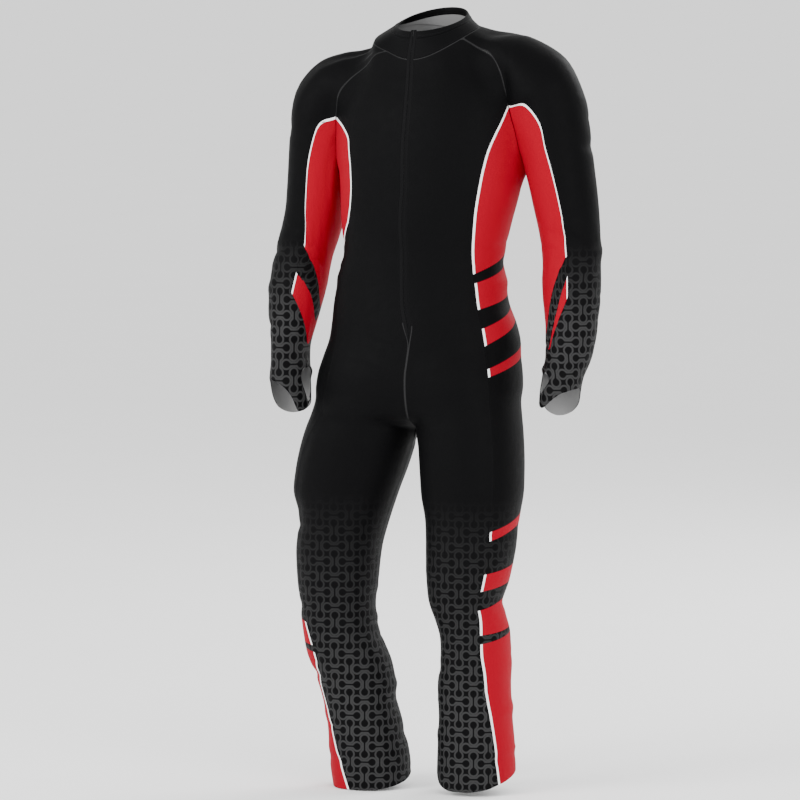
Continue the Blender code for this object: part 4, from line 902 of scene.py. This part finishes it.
def finer(points, row_steps, column_steps):
    """The grid read again with several steps in each cell, on smooth curves."""
    for axis, steps in ((0, row_steps), (1, column_steps)):
        grid = np.moveaxis(points, axis, 0)
        count = len(grid)
        cell = np.linalg.norm(np.diff(grid, axis=0), axis=-1).mean(axis=1)
        keys = np.concatenate(([0], np.cumsum(np.maximum(cell, 1e-6))))
        at = np.interp(np.linspace(0, count - 1, (count - 1) * steps + 1), np.arange(count), keys)
        flat = through(keys, grid.reshape(count, -1), at)
        points = np.moveaxis(flat.reshape(len(at), *grid.shape[1:]), 0, axis)
    return points


def lengths(points, axis):
    """Distance along the grid's lines in millimetres."""
    step = np.linalg.norm(np.diff(points, axis=axis), axis=-1) / MM
    start = np.zeros_like(np.take(step, [0], axis=axis))
    return np.concatenate([start, np.cumsum(step, axis=axis)], axis=axis)


def grid_facing(points, guide=None):
    """Directions square to the grid, on the guide's side at its middle."""
    facing = np.cross(np.gradient(points, axis=0), np.gradient(points, axis=1))
    facing /= np.maximum(np.linalg.norm(facing, axis=-1, keepdims=True), 1e-12)
    middle = (len(points) // 2, points.shape[1] // 2)
    if guide is not None and facing[middle] @ guide < 0:
        facing = -facing
    return facing


def place(name, data):
    """A new object in the scene."""
    item = bpy.data.objects.new(name, data)
    bpy.context.scene.collection.objects.link(item)
    return item


def shell_mesh(name, outer, inner, facing, materials, attributes):
    """A closed shell between two grids, its inner face in the last material."""
    rows, columns = outer.shape[:2]
    count = rows * columns
    index = np.arange(count).reshape(rows, columns)
    quads = np.stack([index[:-1, :-1], index[1:, :-1], index[1:, 1:], index[:-1, 1:]], -1).reshape(-1, 4)
    ring = np.concatenate([index[0, :-1], index[:-1, -1], index[-1, :0:-1], index[:0:-1, 0]])
    after = np.roll(ring, -1)
    walls = np.stack([ring, after, after + count, ring + count], -1)
    faces = np.concatenate([quads, quads[:, ::-1] + count, walls])
    i, j = rows // 2, columns // 2
    if np.cross(outer[i + 1, j] - outer[i, j], outer[i, j + 1] - outer[i, j]) @ facing[i, j] < 0:
        faces = faces[:, ::-1]
    mesh = bpy.data.meshes.new(name)
    mesh.from_pydata(np.concatenate([outer.reshape(-1, 3), inner.reshape(-1, 3)]).tolist(), [], faces.tolist())
    for material in materials:
        mesh.materials.append(material)
    slots = np.zeros(len(faces), np.int32)
    slots[len(quads):2 * len(quads)] = len(materials) - 1
    mesh.polygons.foreach_set("material_index", slots)
    mesh.shade_smooth()
    mesh.set_sharp_from_angle(angle=SHARP_ANGLE)
    for key, values in attributes.items():
        item = mesh.attributes.new(key, "FLOAT_VECTOR", "POINT")
        flat = np.stack([np.broadcast_to(value, (rows, columns)) for value in values], -1).reshape(-1, 3)
        item.data.foreach_set("vector", np.concatenate([flat, flat]).astype(np.float32).ravel())
    return place(name, mesh)


class Panel:
    """One cut piece: its fine grid, and the lengths that print, seams and knit are measured by."""

    def __init__(self, name, chart, points, column_steps=COLUMN_STEPS):
        self.name, self.chart = name, chart
        self.base = base = finer(points, ROW_STEPS, column_steps)
        guide = normals(base[len(base) // 2, base.shape[1] // 2][None], chart.field)[0]
        fold = chart.fold(base.reshape(-1, 3)).reshape(*base.shape[:2], 1)
        self.outer = base + grid_facing(base, guide) * fold
        self.facing = grid_facing(self.outer, guide)
        self.station = chart.locate(base.reshape(-1, 3))[0].reshape(base.shape[:2]) / MM
        self.height = base[..., 2] / MM
        self.first, self.top = lengths(base, 1), lengths(base, 0)
        self.last = self.first[:, -1:] - self.first
        self.line, self.band = np.full((2, *base.shape[:2]), FAR)
        self.set_back = 0.0
        PANELS[name] = self

    def mark(self, edge, rows=np.s_[:]):
        """A visible line of sewing along one edge, over some rows."""
        self.line[rows] = np.minimum(self.line[rows], getattr(self, edge)[rows])

    def lattice(self, side, sense):
        """Place of the lattice print: columns count from one that stands upright in front."""
        column, number, _ = LATTICE["leg"][side]
        offset = self.base @ VIEW_RIGHT - (column - NECK_PIXEL[0]) * PIXEL
        meets = offset[:, :-1] * offset[:, 1:] <= 0
        at = np.where(meets.any(axis=1), meets.argmax(axis=1), np.abs(offset).argmin(axis=1))
        at = np.minimum(at, offset.shape[1] - 2)
        line = np.arange(len(at))
        gap = offset[line, at + 1] - offset[line, at]
        share = np.clip(-offset[line, at] / np.where(np.abs(gap) < 1e-9, 1, gap), 0, 1)
        start = self.first[line, at] + share * (self.first[line, at + 1] - self.first[line, at])
        self.set_print("leg", side, number * PITCH + sense * (self.first - start[:, None]))

    def lattice_round(self, side):
        """The same on a sleeve, with columns counted round level sections of the arm."""
        column, number, _ = LATTICE["arm"][side]
        rings, steps, seen = 90, 60, math.radians(88)
        stations = np.linspace(20 * MM, self.chart.tube.length - 10 * MM, rings)
        angles = np.radians(np.arange(2 * steps + 1) * 360 / steps - 180)
        points = self.chart.surface(np.repeat(stations, steps + 1), np.tile(angles[:steps + 1], rings))
        points = points.reshape(rings, steps + 1, 3)
        points = np.concatenate([points, points[:, 1:]], axis=1)
        run = lengths(points, 1)
        offset = points @ VIEW_RIGHT - (column - NECK_PIXEL[0]) * PIXEL
        near = np.abs(angles - side * AZIMUTH) < seen
        start = np.array([np.interp(0, gap[near] * side, along[near]) for gap, along in zip(offset, run)])
        run = run - start[:, None]
        first_angle = self.chart.locate(self.base[:, :1].reshape(-1, 3))[1]
        angle = np.unwrap(self.chart.locate(self.base.reshape(-1, 3))[1].reshape(self.station.shape), axis=1)
        angle += 2 * math.pi * np.round((first_angle - angle[:, 0]) / (2 * math.pi))[:, None]
        row_at = np.clip(np.interp(self.station * MM, stations, np.arange(rings)), 0, rings - 1.001)
        column_at = np.clip(np.interp(angle, angles, np.arange(len(angles))), 0, len(angles) - 1.001)
        i, j = row_at.astype(int), column_at.astype(int)
        u, v = row_at - i, column_at - j
        self.set_print("arm", side, number * PITCH + ((run[i, j] * (1 - u) + run[i + 1, j] * u) * (1 - v)
                                                      + (run[i, j + 1] * (1 - u) + run[i + 1, j + 1] * u) * v))

    def set_print(self, limb, side, across):
        """Distance across and down the lattice, and how far it has faded in."""
        start, full = FADE[limb]
        self.print_across = across
        self.print = (across, (LATTICE[limb][side][2] - self.height) * PITCH / ROW_PITCH,
                      np.clip((self.height - start) / (full - start), 0, 1))

    def bands(self):
        """Signed distance to the nearest change of colour, positive where the panel is red."""
        if self.name.startswith("side"):
            down, across, sign = -self.height, self.first, -1
        else:
            down, across, sign = self.station, np.minimum(self.first, self.last), 1
        gaps = np.stack([down - sign * (start + (end - start) * across / BAND_REACH)
                         for start, end in BANDS[self.name]])
        red = (gaps > 0).sum(axis=0) % 2 == 0
        size = np.abs(gaps).min(axis=0)
        if self.name in SET_BACK:
            heights, backs = np.array(SET_BACK[self.name], float)[::-1].T
            self.set_back = np.interp(self.height, heights, backs)
            past = self.first - self.set_back
            size = np.where(self.set_back > 0.5, np.minimum(size, np.abs(past)), size)
            red &= past >= 0
        self.band = np.where(red, 1, -1) * size

    def build(self, finish):
        kind = "side" if self.name.startswith(("side", "underarm")) else "printed"
        seam = np.minimum(np.minimum(self.first, self.last), self.top)
        attributes = {
            "cloth": (self.first, self.top, 0.0),
            "seam": (seam, np.where(seam < self.top, self.top, self.first), self.line),
            "print": self.print,
            "band": (self.band, np.minimum(self.first - self.set_back, self.last), 0.0),
        }
        dress(shell_mesh(self.name + "_cloth", self.outer, self.outer - self.facing * CLOTH, self.facing,
                         [finish[kind], finish["inside"]], attributes), self.name)


def dress(piece, node):
    """Puts the piece in its node's place: hangs it on the root body and hides the node."""
    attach(piece, "root")
    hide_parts(node)


def body_panels(seams):
    """Front and back panels, each from neck to ankle; gives their edges at the neck."""
    side = seams.side
    raglan_rows = np.s_[:RAGLAN_CELLS * ROW_STEPS + 1]
    necks = []
    for kind, first, last, neck, hem, columns, starts, outer, centre, sense, ends_below in (
            ("front", seams.centre_front, seams.outer_front, (seams.zip_edge, RAGLAN_FRONT[side][0][1]),
             (INSEAM_ANGLE - 360, LEG_FRONT[side][-1][1]), FRONT_COLUMNS, (-20, 60), "last", "first", 1, ZIP_END),
            ("back", seams.outer_back, seams.centre_back, (RAGLAN_BACK[side][0][1], 180),
             (LEG_BACK[side][-1][1], INSEAM_ANGLE), BACK_COLUMNS, (110, 200), "first", "last", -1, math.inf)):
        top = neck_line(*neck, columns, side)
        panel = Panel(f"{kind}_{SIDES[side]}", seams.body,
                      patch(seams.body, first, last, top, hem_line(side, *hem, columns), starts))
        panel.lattice(side, sense * side)
        panel.mark(outer, raglan_rows)
        panel.mark("top")
        height = panel.height[:, 0 if centre == "first" else -1]
        panel.mark(centre, (height < ends_below) & (height > CROTCH_FOOT))
        necks.append(top)
    return necks


def side_panel(seams):
    """One long panel from the armhole down the side of body and leg."""
    side, trunk, at, columns = seams.side, seams.trunk, UPPER_SIDE_ROWS, ARMHOLE_STEPS + 1
    front, back = seams.side_front, seams.side_back
    z, angle = trunk.locate(np.stack([front[at], back[at]]))
    share = np.linspace(0, 1, columns)
    row = trunk.surface(z[0] + (z[1] - z[0]) * share, angle[0] + (angle[1] % (2 * math.pi) - angle[0]) * share)
    upper = patch(trunk, front[:at + 1], back[:at + 1], seams.armhole, row, (60, 120), even_rows=True)
    hem = hem_line(side, LEG_FRONT[side][-1][1], LEG_BACK[side][-1][1], columns)
    lower = patch(trunk, front[at:], back[at:], row, hem, (60, 120))
    panel = Panel(f"side_{SIDES[side]}", trunk, np.concatenate([upper, lower[1:]]))
    edge = PANELS[f"front_{SIDES[side]}"].print_across[RAGLAN_CELLS * ROW_STEPS:, -1:]
    panel.set_print("leg", side, edge + side * panel.first)
    panel.mark("top")
    panel.bands()


def sleeve_panels(seams):
    """Raglan sleeve down to the hand, and the panel under the arm; gives the sleeve's edge at the neck."""
    side = seams.side
    arm = ARM_TUBES[side]
    shoulder = Sleeve(side, lambda p: shoulder_field(p, side))
    inner_arm = Sleeve(side, arm.field)
    front = sleeve_line(shoulder, SLEEVE_FRONT[side], seams.raglan_front[-1])
    back = sleeve_line(shoulder, SLEEVE_BACK[side], seams.raglan_back[-1])
    ends = np.stack(arm.locate(np.stack([front[-1], back[-1]])), axis=1)
    ends[1, 1] -= 2 * math.pi * (ends[1, 1] > 0)
    corners = np.array([ends[0], (UNDER_TIP[side][0] * MM, math.radians(UNDER_TIP[side][1])), ends[1]])
    share = np.linspace(0, 1, ARMHOLE_STEPS + 1)
    station, turned = (np.interp(share, (0, 0.5, 1), column) for column in corners.T)
    tip = inner_arm.surface(station, turned)
    half = ARMHOLE_STEPS // 2
    front_edge, back_edge = wrist_seam(shoulder, side, tip[half])
    first = np.concatenate([seams.raglan_front, front[1:], tip[1:half + 1], front_edge])
    last = np.concatenate([seams.raglan_back, back[1:], tip[half:-1][::-1], back_edge])
    top = neck_line(RAGLAN_FRONT[side][0][1], RAGLAN_BACK[side][0][1], SLEEVE_COLUMNS, side)
    angle = np.linspace(WRIST_SEAM_END[side], WRIST_SEAM_END[side] + 360, SLEEVE_COLUMNS)
    cuff = shoulder.surface(cuff_station(side, angle), np.radians(angle))
    points = patch(shoulder, first, last, top, cuff, (0, 180), parted=len(front_edge))
    sleeve = Panel(f"sleeve_{SIDES[side]}", shoulder, points, SLEEVE_COLUMN_STEPS)
    sleeve.lattice_round(side)
    start = RAGLAN_CELLS * ROW_STEPS
    sleeve.mark("first", np.s_[:start + 1])
    sleeve.mark("last", np.s_[:start + 1])
    sleeve.mark("top")

    under = Panel(f"underarm_{SIDES[side]}", inner_arm,
                  patch(inner_arm, front, back, seams.armhole, tip, (-30, -160)))
    edge = sleeve.print_across[start:start + len(under.first), :1]
    under.set_print("arm", side, edge - side * under.first)
    under.mark("top")
    under.bands()
    return top


def plain_attributes(across, down, seam):
    return {"cloth": (across, down, FAR), "seam": (*seam, FAR), "print": (0.0, 0.0, 0.0), "band": (0.0, FAR, 0.0)}


def wall_attributes(outer):
    across, down = lengths(outer, 1), lengths(outer, 0)
    ends = np.minimum(across, across[:, -1:] - across)
    edge = np.minimum(down, down[-1:] - down)
    return plain_attributes(across, down, (np.minimum(ends, edge), across))


def collar_wall(name, frame, foot, inset, materials):
    """A wall of the collar from just above its foot to below the binding's turn."""
    top, rise, outward = frame
    start = foot + rise * COLLAR_LIFT - normals(foot) * inset
    end = top - rise * BINDING_DEPTH - outward * inset
    share = np.linspace(0, 1, COLLAR_ROWS)[:, None, None]
    outer = finer(pull_in(end[None] + (start - end)[None] * share),
                  COLLAR_ROW_STEPS, COLLAR_COLUMN_STEPS)
    facing = grid_facing(outer, outward[len(outward) // 2])
    dress(shell_mesh(name + "_cloth", outer, outer - facing * COLLAR_CLOTH, facing, materials,
                     wall_attributes(outer)), name)


def stitches(name, line, facing, size, material, sway=0.0):
    """Short raised threads along a line on the cloth, each a little bent rod."""
    pitch, length, radius = size
    line_lengths = np.concatenate(([0], np.cumsum(np.linalg.norm(np.diff(line, axis=0), axis=1))))
    count = int(line_lengths[-1] / pitch)
    at = (np.arange(count) + 0.5) * pitch
    # place along the stitch, lift in radii and thickness of its rings
    rings = ((-0.5, -0.35, 0.7), (-0.34, 0.35, 1), (0, 0.75, 1), (0.34, 0.35, 1), (0.5, -0.35, 0.7))
    sides = 6
    block = len(rings) * sides

    def read(values, where):
        return np.stack([np.interp(where, line_lengths, values[:, k]) for k in range(3)], axis=1)

    points = []
    for step, rise, thin in rings:
        place_at = at + step * length
        out = read(facing, place_at)
        across = unit(np.cross(out, read(line, place_at + 0.2 * MM) - read(line, place_at - 0.2 * MM)))
        shift = sway * np.where(np.arange(count) % 2, 1, -1)[:, None] * (2 * step)
        middle = read(line, place_at) + out * radius * rise + across * shift
        for turn in np.linspace(0, 2 * math.pi, sides, endpoint=False):
            points.append(middle + radius * thin * (out * math.cos(turn) + across * math.sin(turn)))
    points = np.stack(points, axis=1).reshape(-1, 3)
    faces = [(k + j, k + (j + 1) % sides, k + (j + 1) % sides + sides, k + j + sides)
             for k in range(0, block - sides, sides) for j in range(sides)]
    quads = (np.array(faces)[None] + np.arange(count)[:, None, None] * block).reshape(-1, 4).tolist()
    caps = [[n * block + j for j in reversed(range(sides))] for n in range(count)]
    caps += [[(n + 1) * block - sides + j for j in range(sides)] for n in range(count)]
    mesh = bpy.data.meshes.new(name)
    mesh.from_pydata(points.tolist(), [], quads + caps)
    mesh.materials.append(material)
    mesh.shade_smooth()
    piece = place(name, mesh)
    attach(piece, "root")
    return piece


def collar(foot, finish):
    """Stand-up collar of outer cloth, grey facing inside and a folded binding over the top edge."""
    frame = collar_frame(foot)
    top, rise, outward = frame
    collar_wall("collar", frame, foot, 0, [finish["plain"], finish["inside"]])
    collar_wall("collar_facing", frame, foot, COLLAR_CLOTH + FACING_GAP, [finish["inside"]])
    wall = 2 * COLLAR_CLOTH + FACING_GAP
    reach = BINDING_DEPTH - SEAM_GAP
    # inward from the collar's outer face and down from its top, from the outer edge over to the inner one
    fold = [(wall / 2 - (wall / 2 + BINDING_PROUD) * math.cos(turn), BINDING_TURN - BINDING_RISE * math.sin(turn))
            for turn in np.linspace(0, math.pi, 9)]
    side = [(-BINDING_PROUD - BINDING_SWELL * math.sin(math.pi * (drop / reach)), drop)
            for drop in np.linspace(reach, BINDING_TURN, 7)[:-1]]
    profile = side + fold + [(wall - inset, drop) for inset, drop in side[::-1]]
    outer = np.stack([top - outward * inset - rise * drop for inset, drop in profile])
    outer = finer(pull_in(outer), 1, COLLAR_COLUMN_STEPS)
    facing = grid_facing(outer, rise[len(rise) // 2])
    piece = shell_mesh("collar_binding_cloth", outer, outer - facing * BINDING_CLOTH, facing,
                       [finish["plain"]], wall_attributes(outer))
    threads = [stitches(f"binding_stitches_{name}", outer[row], facing[row], STITCH, finish["thread"])
               for name, row in (("outside", 2), ("inside", len(outer) - 3))]
    dress(piece, "collar_binding")
    return frame


def front_zip(seam_lines, foot, frame, finish):
    """Closed zip: two tapes that meet over the teeth, from the top of the collar to the lower front."""
    rows = zip_rows(seam_lines[0][:, 2]) + 1
    top, rise, outward = frame
    edges, facings = [], []
    for end, line in zip((0, -1), seam_lines):
        edges.append(np.concatenate([[top[end] + rise[end] * ZIP_END_RISE, (top[end] + foot[end]) / 2],
                                     line[:rows]]))
        facings.append(np.concatenate([[outward[end]] * 2, normals(line[:rows])]))
    facing = unit(facings[0] + facings[1])
    edges = finer(np.stack([edges[0], (edges[0] + edges[1]) / 2, edges[1]], axis=1), ZIP_STEPS, 1)
    facing = unit(finer(np.stack([facing, facing], axis=1), ZIP_STEPS, 1)[:, 0])
    # share of the way from the tape's outer edge to the slit, height above the cloth
    share, rise_at = np.array([(0, 0), (0.10, 0.12), (0.22, 0.18), (0.36, 0.20), (0.52, 0.26), (0.66, 0.42),
                               (0.78, 0.52), (0.88, 0.50), (0.95, 0.38), (1, 0.15)]).T
    for side, edge in (("left", edges[:, 0]), ("right", edges[:, 2])):
        slit = edges[:, 1] + (edge - edges[:, 1]) * SLIT_SHARE
        outer = (edge[:, None] + (slit - edge)[:, None] * share[None, :, None]
                 + facing[:, None] * (rise_at * MM)[None, :, None])
        span, down = lengths(outer, 1), lengths(outer, 0)
        sunk = np.clip(1 - down / SUNK_RUN, 0, 1) ** 2 * SUNK_DEPTH * MM
        outer = outer - facing[:, None] * sunk[..., None]
        own = grid_facing(outer, facing[len(facing) // 2])
        dress(shell_mesh(f"zip_tape_{side}", outer, outer - own * TAPE_CLOTH, own, [finish["tape"]],
                         plain_attributes(span, down, (span, down))), "front_zip")
    line = edges[4:-4, 1] + facing[4:-4] * TEETH_LIFT * MM
    stitches("zip_teeth", line, facing[4:-4], TOOTH, finish["teeth"], TEETH_SWAY)


class Graph:
    """A material's nodes, made by short calls."""

    def __init__(self, name):
        self.material = bpy.data.materials.new(name)
        self.material.use_nodes = True
        self.tree = self.material.node_tree
        self.shader = self.tree.nodes["Principled BSDF"]

    def attach(self, socket, value):
        if isinstance(value, bpy.types.NodeSocket):
            self.tree.links.new(value, socket)
        else:
            socket.default_value = value

    def node(self, kind, inputs, output=0, **settings):
        """An output of a new node with the given inputs, each a socket or a value."""
        node = self.tree.nodes.new("ShaderNode" + kind)
        for key, value in settings.items():
            setattr(node, key, value)
        for key, value in inputs.items():
            self.attach(node.inputs[key], value)
        return node.outputs[output]

    def math(self, operation, *values, clamp=False):
        return self.node("Math", dict(enumerate(values)), operation=operation, use_clamp=clamp)

    def axes(self, name):
        """The three numbers of a mesh attribute."""
        vector = self.node("Attribute", {}, "Vector", attribute_name=name)
        split = self.tree.nodes.new("ShaderNodeSeparateXYZ")
        self.attach(split.inputs[0], vector)
        return split.outputs[0], split.outputs[1], split.outputs[2]

    def mix(self, share, first, second):
        """From the first colour to the second as share goes from 0 to 1."""
        first, second = ((*value, 1.0) if isinstance(value, tuple) else value for value in (first, second))
        return self.node("Mix", {0: share, 6: first, 7: second}, 2, data_type="RGBA")

    def uneven(self, scale, colour, factor):
        """A colour that wanders between itself and a multiple of itself."""
        return self.mix(self.noise(scale, 3.0), colour, tuple(factor * value for value in colour))

    def noise(self, scale, detail=2.0):
        vector = self.node("TexCoord", {}, "Object")
        return self.node("TexNoise", {"Vector": vector, "Scale": scale, "Detail": detail}, "Fac")

    def wave(self, distance, pitch):
        """A sine over a distance in millimetres, from 0 to 1."""
        turn = self.math("MULTIPLY", distance, 2 * math.pi / pitch)
        return self.math("MULTIPLY_ADD", self.math("SINE", turn), 0.5, 0.5)

    def below(self, value, limit, soft):
        """1 where value is under limit, with a soft edge."""
        gap = self.math("SUBTRACT", limit, value)
        return self.math("MULTIPLY_ADD", gap, 1 / soft, 0.5, clamp=True)

    def bump(self, height, strength, distance, normal=None):
        inputs = {"Height": height, "Strength": strength, "Distance": distance}
        return self.node("Bump", inputs if normal is None else {**inputs, "Normal": normal})

    def finish(self, colour, roughness, normal, sheen=0.006, sheen_roughness=0.3, specular=0.035):
        for key, value in (("Base Color", colour), ("Roughness", roughness), ("Normal", normal),
                           ("Specular IOR Level", specular), ("Sheen Weight", sheen),
                           ("Sheen Roughness", sheen_roughness)):
            self.attach(self.shader.inputs[key], value)
        return self.material


def bones(m, along, across, count_offset):
    """Distance, in pitches, from rows of dumbbells whose neighbouring rows are shifted by one disc."""
    row = m("FLOOR", m("ADD", across, 0.5))
    off = m("ABSOLUTE", m("SUBTRACT", across, row))
    odd = m("FLOORED_MODULO", row, 2.0)
    along = m("SUBTRACT", along, m("ADD", odd, count_offset))
    turn = m("ROUND", m("MULTIPLY", along, 0.5))
    from_disc = m("SUBTRACT", m("ABSOLUTE", m("MULTIPLY_ADD", turn, -2.0, along)), 0.5)
    square = m("ADD", m("MULTIPLY", from_disc, from_disc), m("MULTIPLY", off, off))
    disc = m("SUBTRACT", m("SQRT", square), DISC_RADIUS)
    bar = m("MAXIMUM", from_disc, m("SUBTRACT", off, BAR_HALF_WIDTH))
    return m("SMOOTH_MIN", disc, bar, DISC_FILLET)


def lattice_lines(graph):
    """Share of the grey line round the dumbbells of the lattice print."""
    m = graph.math
    across, down, fade = graph.axes("print")
    p = m("MULTIPLY", across, 1 / PITCH)
    q = m("MULTIPLY", down, -1 / PITCH)
    shape = m("MINIMUM", bones(m, p, q, 0.5), bones(m, q, m("SUBTRACT", p, 0.5), 1.0))
    gap = m("ABSOLUTE", m("SUBTRACT", shape, LINE_PLACE))
    return m("MULTIPLY", m("MULTIPLY_ADD", gap, -LINE_SHARPNESS, LINE_SHARE, clamp=True), fade)


def knit(graph):
    """Fine knit of the cloth, with slight unevenness and with sunk, stitched seams."""
    m = graph.math
    across, down, _ = graph.axes("cloth")
    wale = graph.wave(across, WALE_PITCH)
    course = graph.wave(m("MULTIPLY_ADD", wale, 0.3, down), COURSE_PITCH)
    normal = graph.bump(m("MULTIPLY", wale, course), 0.35, 0.12 * MM)
    normal = graph.bump(graph.noise(70.0, 3.0), 0.35, 1.6 * MM, normal)
    distance, run, _ = graph.axes("seam")
    row = graph.below(m("ABSOLUTE", m("SUBTRACT", distance, SEWN_AT)), 0.45, 0.4)
    thread = m("MULTIPLY", row, graph.below(graph.wave(run, SEWN_PITCH), 0.72, 0.4))
    height = m("SUBTRACT", m("MULTIPLY", thread, 0.6), graph.below(distance, 0.7, 0.9))
    return graph.bump(height, 0.7, 0.5 * MM, normal), m("MULTIPLY", thread, 0.5)


def cloth_materials():
    finish = {}

    graph = Graph("printed_knit")
    normal, thread = knit(graph)
    colour = graph.mix(lattice_lines(graph), graph.uneven(9.0, BLACK, 1.5), PRINT_GREY)
    _, run, line = graph.axes("seam")
    weave = graph.math("MULTIPLY_ADD", graph.wave(run, 1.45), 0.45, 0.55)
    colour = graph.mix(graph.math("MULTIPLY", graph.below(line, 1.7, 0.8), weave), colour, SEAM_GREY)
    colour = graph.mix(thread, colour, THREAD)
    rough = graph.math("MULTIPLY_ADD", graph.noise(60.0), 0.14, 0.5)
    finish["printed"] = graph.finish(colour, rough, normal)

    graph = Graph("side_knit")
    normal, _ = knit(graph)
    band, edge, _ = graph.axes("band")
    is_red = graph.math("MULTIPLY_ADD", band, 1.6, 0.5, clamp=True)
    red = graph.mix(graph.below(edge, EDGE_LINE, 0.5), graph.uneven(11.0, RED, 0.92), WHITE)
    colour = graph.mix(is_red, graph.mix(lattice_lines(graph), BLACK, PRINT_GREY), red)
    line = graph.axes("seam")[2]
    colour = graph.mix(graph.math("MULTIPLY", graph.below(line, 1.3, 0.7), is_red), colour, DARK_RED)
    rough = graph.math("MULTIPLY_ADD", graph.noise(60.0), 0.14, 0.5)
    finish["side"] = graph.finish(colour, rough, normal)

    graph = Graph("plain_knit")
    normal, thread = knit(graph)
    finish["plain"] = graph.finish(graph.mix(thread, graph.uneven(9.0, BLACK, 1.5), THREAD), 0.55, normal)

    graph = Graph("inside_knit")
    across, down, _ = graph.axes("cloth")
    loops = graph.math("MULTIPLY", graph.wave(across, 1.3), graph.wave(down, 1.1))
    colour = graph.mix(graph.math("MULTIPLY", loops, 0.3), graph.uneven(40.0, INSIDE_GREY, 0.85),
                       tuple(1.2 * value for value in INSIDE_GREY))
    normal = graph.bump(graph.noise(70.0, 3.0), 0.3, 1.2 * MM, graph.bump(loops, 0.4, 0.15 * MM))
    finish["inside"] = graph.finish(colour, 0.8, normal, 0.1, 0.5, 0.2)

    graph = Graph("woven_tape")
    across, down, _ = graph.axes("cloth")
    twill = graph.wave(graph.math("ADD", across, down), 0.9)
    ribs = graph.math("MULTIPLY", graph.below(across, 20.0, 1.0), graph.wave(down, 1.5))
    normal = graph.bump(ribs, 0.3, 0.25 * MM, graph.bump(twill, 0.4, 0.12 * MM))
    colour = graph.mix(twill, BLACK, tuple(2.0 * value for value in BLACK))
    finish["tape"] = graph.finish(colour, 0.5, normal, specular=0.04)

    for name, key, colour, rough in (("thread", "thread", THREAD, 0.45), ("zip_plastic", "teeth", TEETH, 0.35)):
        graph = Graph(name)
        shade = graph.mix(graph.noise(900.0), colour, tuple(1.6 * value for value in colour))
        normal = graph.bump(graph.noise(2500.0), 0.2, 0.05 * MM)
        finish[key] = graph.finish(shade, rough, normal, specular=0.05)
    return finish


def stage():
    """Pale floor, even light and the camera at the photo's angle."""
    z = CAD_BOX[0][2] - FLOOR_DROP
    mesh = bpy.data.meshes.new("floor")
    mesh.from_pydata([(x * FLOOR_HALF, y * FLOOR_HALF, z) for x, y in ((-1, -1), (1, -1), (1, 1), (-1, 1))],
                     [], [(0, 1, 2, 3)])
    graph = Graph("pale_floor")
    colour = graph.mix(graph.noise(3.0), (0.93, 0.93, 0.93), (0.91, 0.91, 0.91))
    normal = graph.bump(graph.noise(60.0), 0.02, 1 * MM)
    mesh.materials.append(graph.finish(colour, 0.8, normal, 0.0, 0.4, 0.1))
    place("floor", mesh)

    world = bpy.data.worlds.new("studio")
    bpy.context.scene.world = world
    world.use_nodes = True
    colour, strength = world.node_tree.nodes["Background"].inputs[:2]
    colour.default_value = (1.0, 1.0, 1.0, 1)
    strength.default_value = WORLD_STRENGTH
    for name, at, size, power in LIGHTS:
        data = bpy.data.lights.new(name, "AREA")
        data.size, data.energy = size, power
        aim(place(name, data), np.array(at), np.array(LIT_POINT))

    middle = PICTURE / 2
    centre = ((middle - NECK_PIXEL[0]) * VIEW_RIGHT + (NECK_PIXEL[1] - middle) * VIEW_UP) * PIXEL
    data = bpy.data.cameras.new("camera")
    data.sensor_width = SENSOR
    data.lens = SENSOR * CAMERA_DISTANCE / (PICTURE * PIXEL)
    data.clip_end = 100
    camera = place("camera", data)
    aim(camera, centre + TOWARD * CAMERA_DISTANCE, centre)
    bpy.context.scene.camera = camera


def aim(item, at, target):
    """Puts the item at a place with its -Z toward the target and its top up."""
    back = unit(at - target)
    right = unit(np.cross((0, 0, 1), back))
    up = np.cross(back, right)
    item.matrix_world = Matrix([[right[k], up[k], back[k], at[k]] for k in range(3)] + [[0, 0, 0, 1]])


def main():
    finish = cloth_materials()
    halves, centre_lines = [], []
    for side in (LEFT, RIGHT):
        seams = Seams(side)
        front, back = body_panels(seams)
        side_panel(seams)
        shoulder = sleeve_panels(seams)
        halves.append(np.concatenate([front, shoulder[1:], back[1:]]))
        centre_lines.append(seams.centre_front)
    for panel in PANELS.values():
        panel.build(finish)
    ring = np.concatenate([halves[0], halves[1][:-1][::-1]])
    front_zip(centre_lines, ring, collar(ring, finish), finish)
    stage()


main()
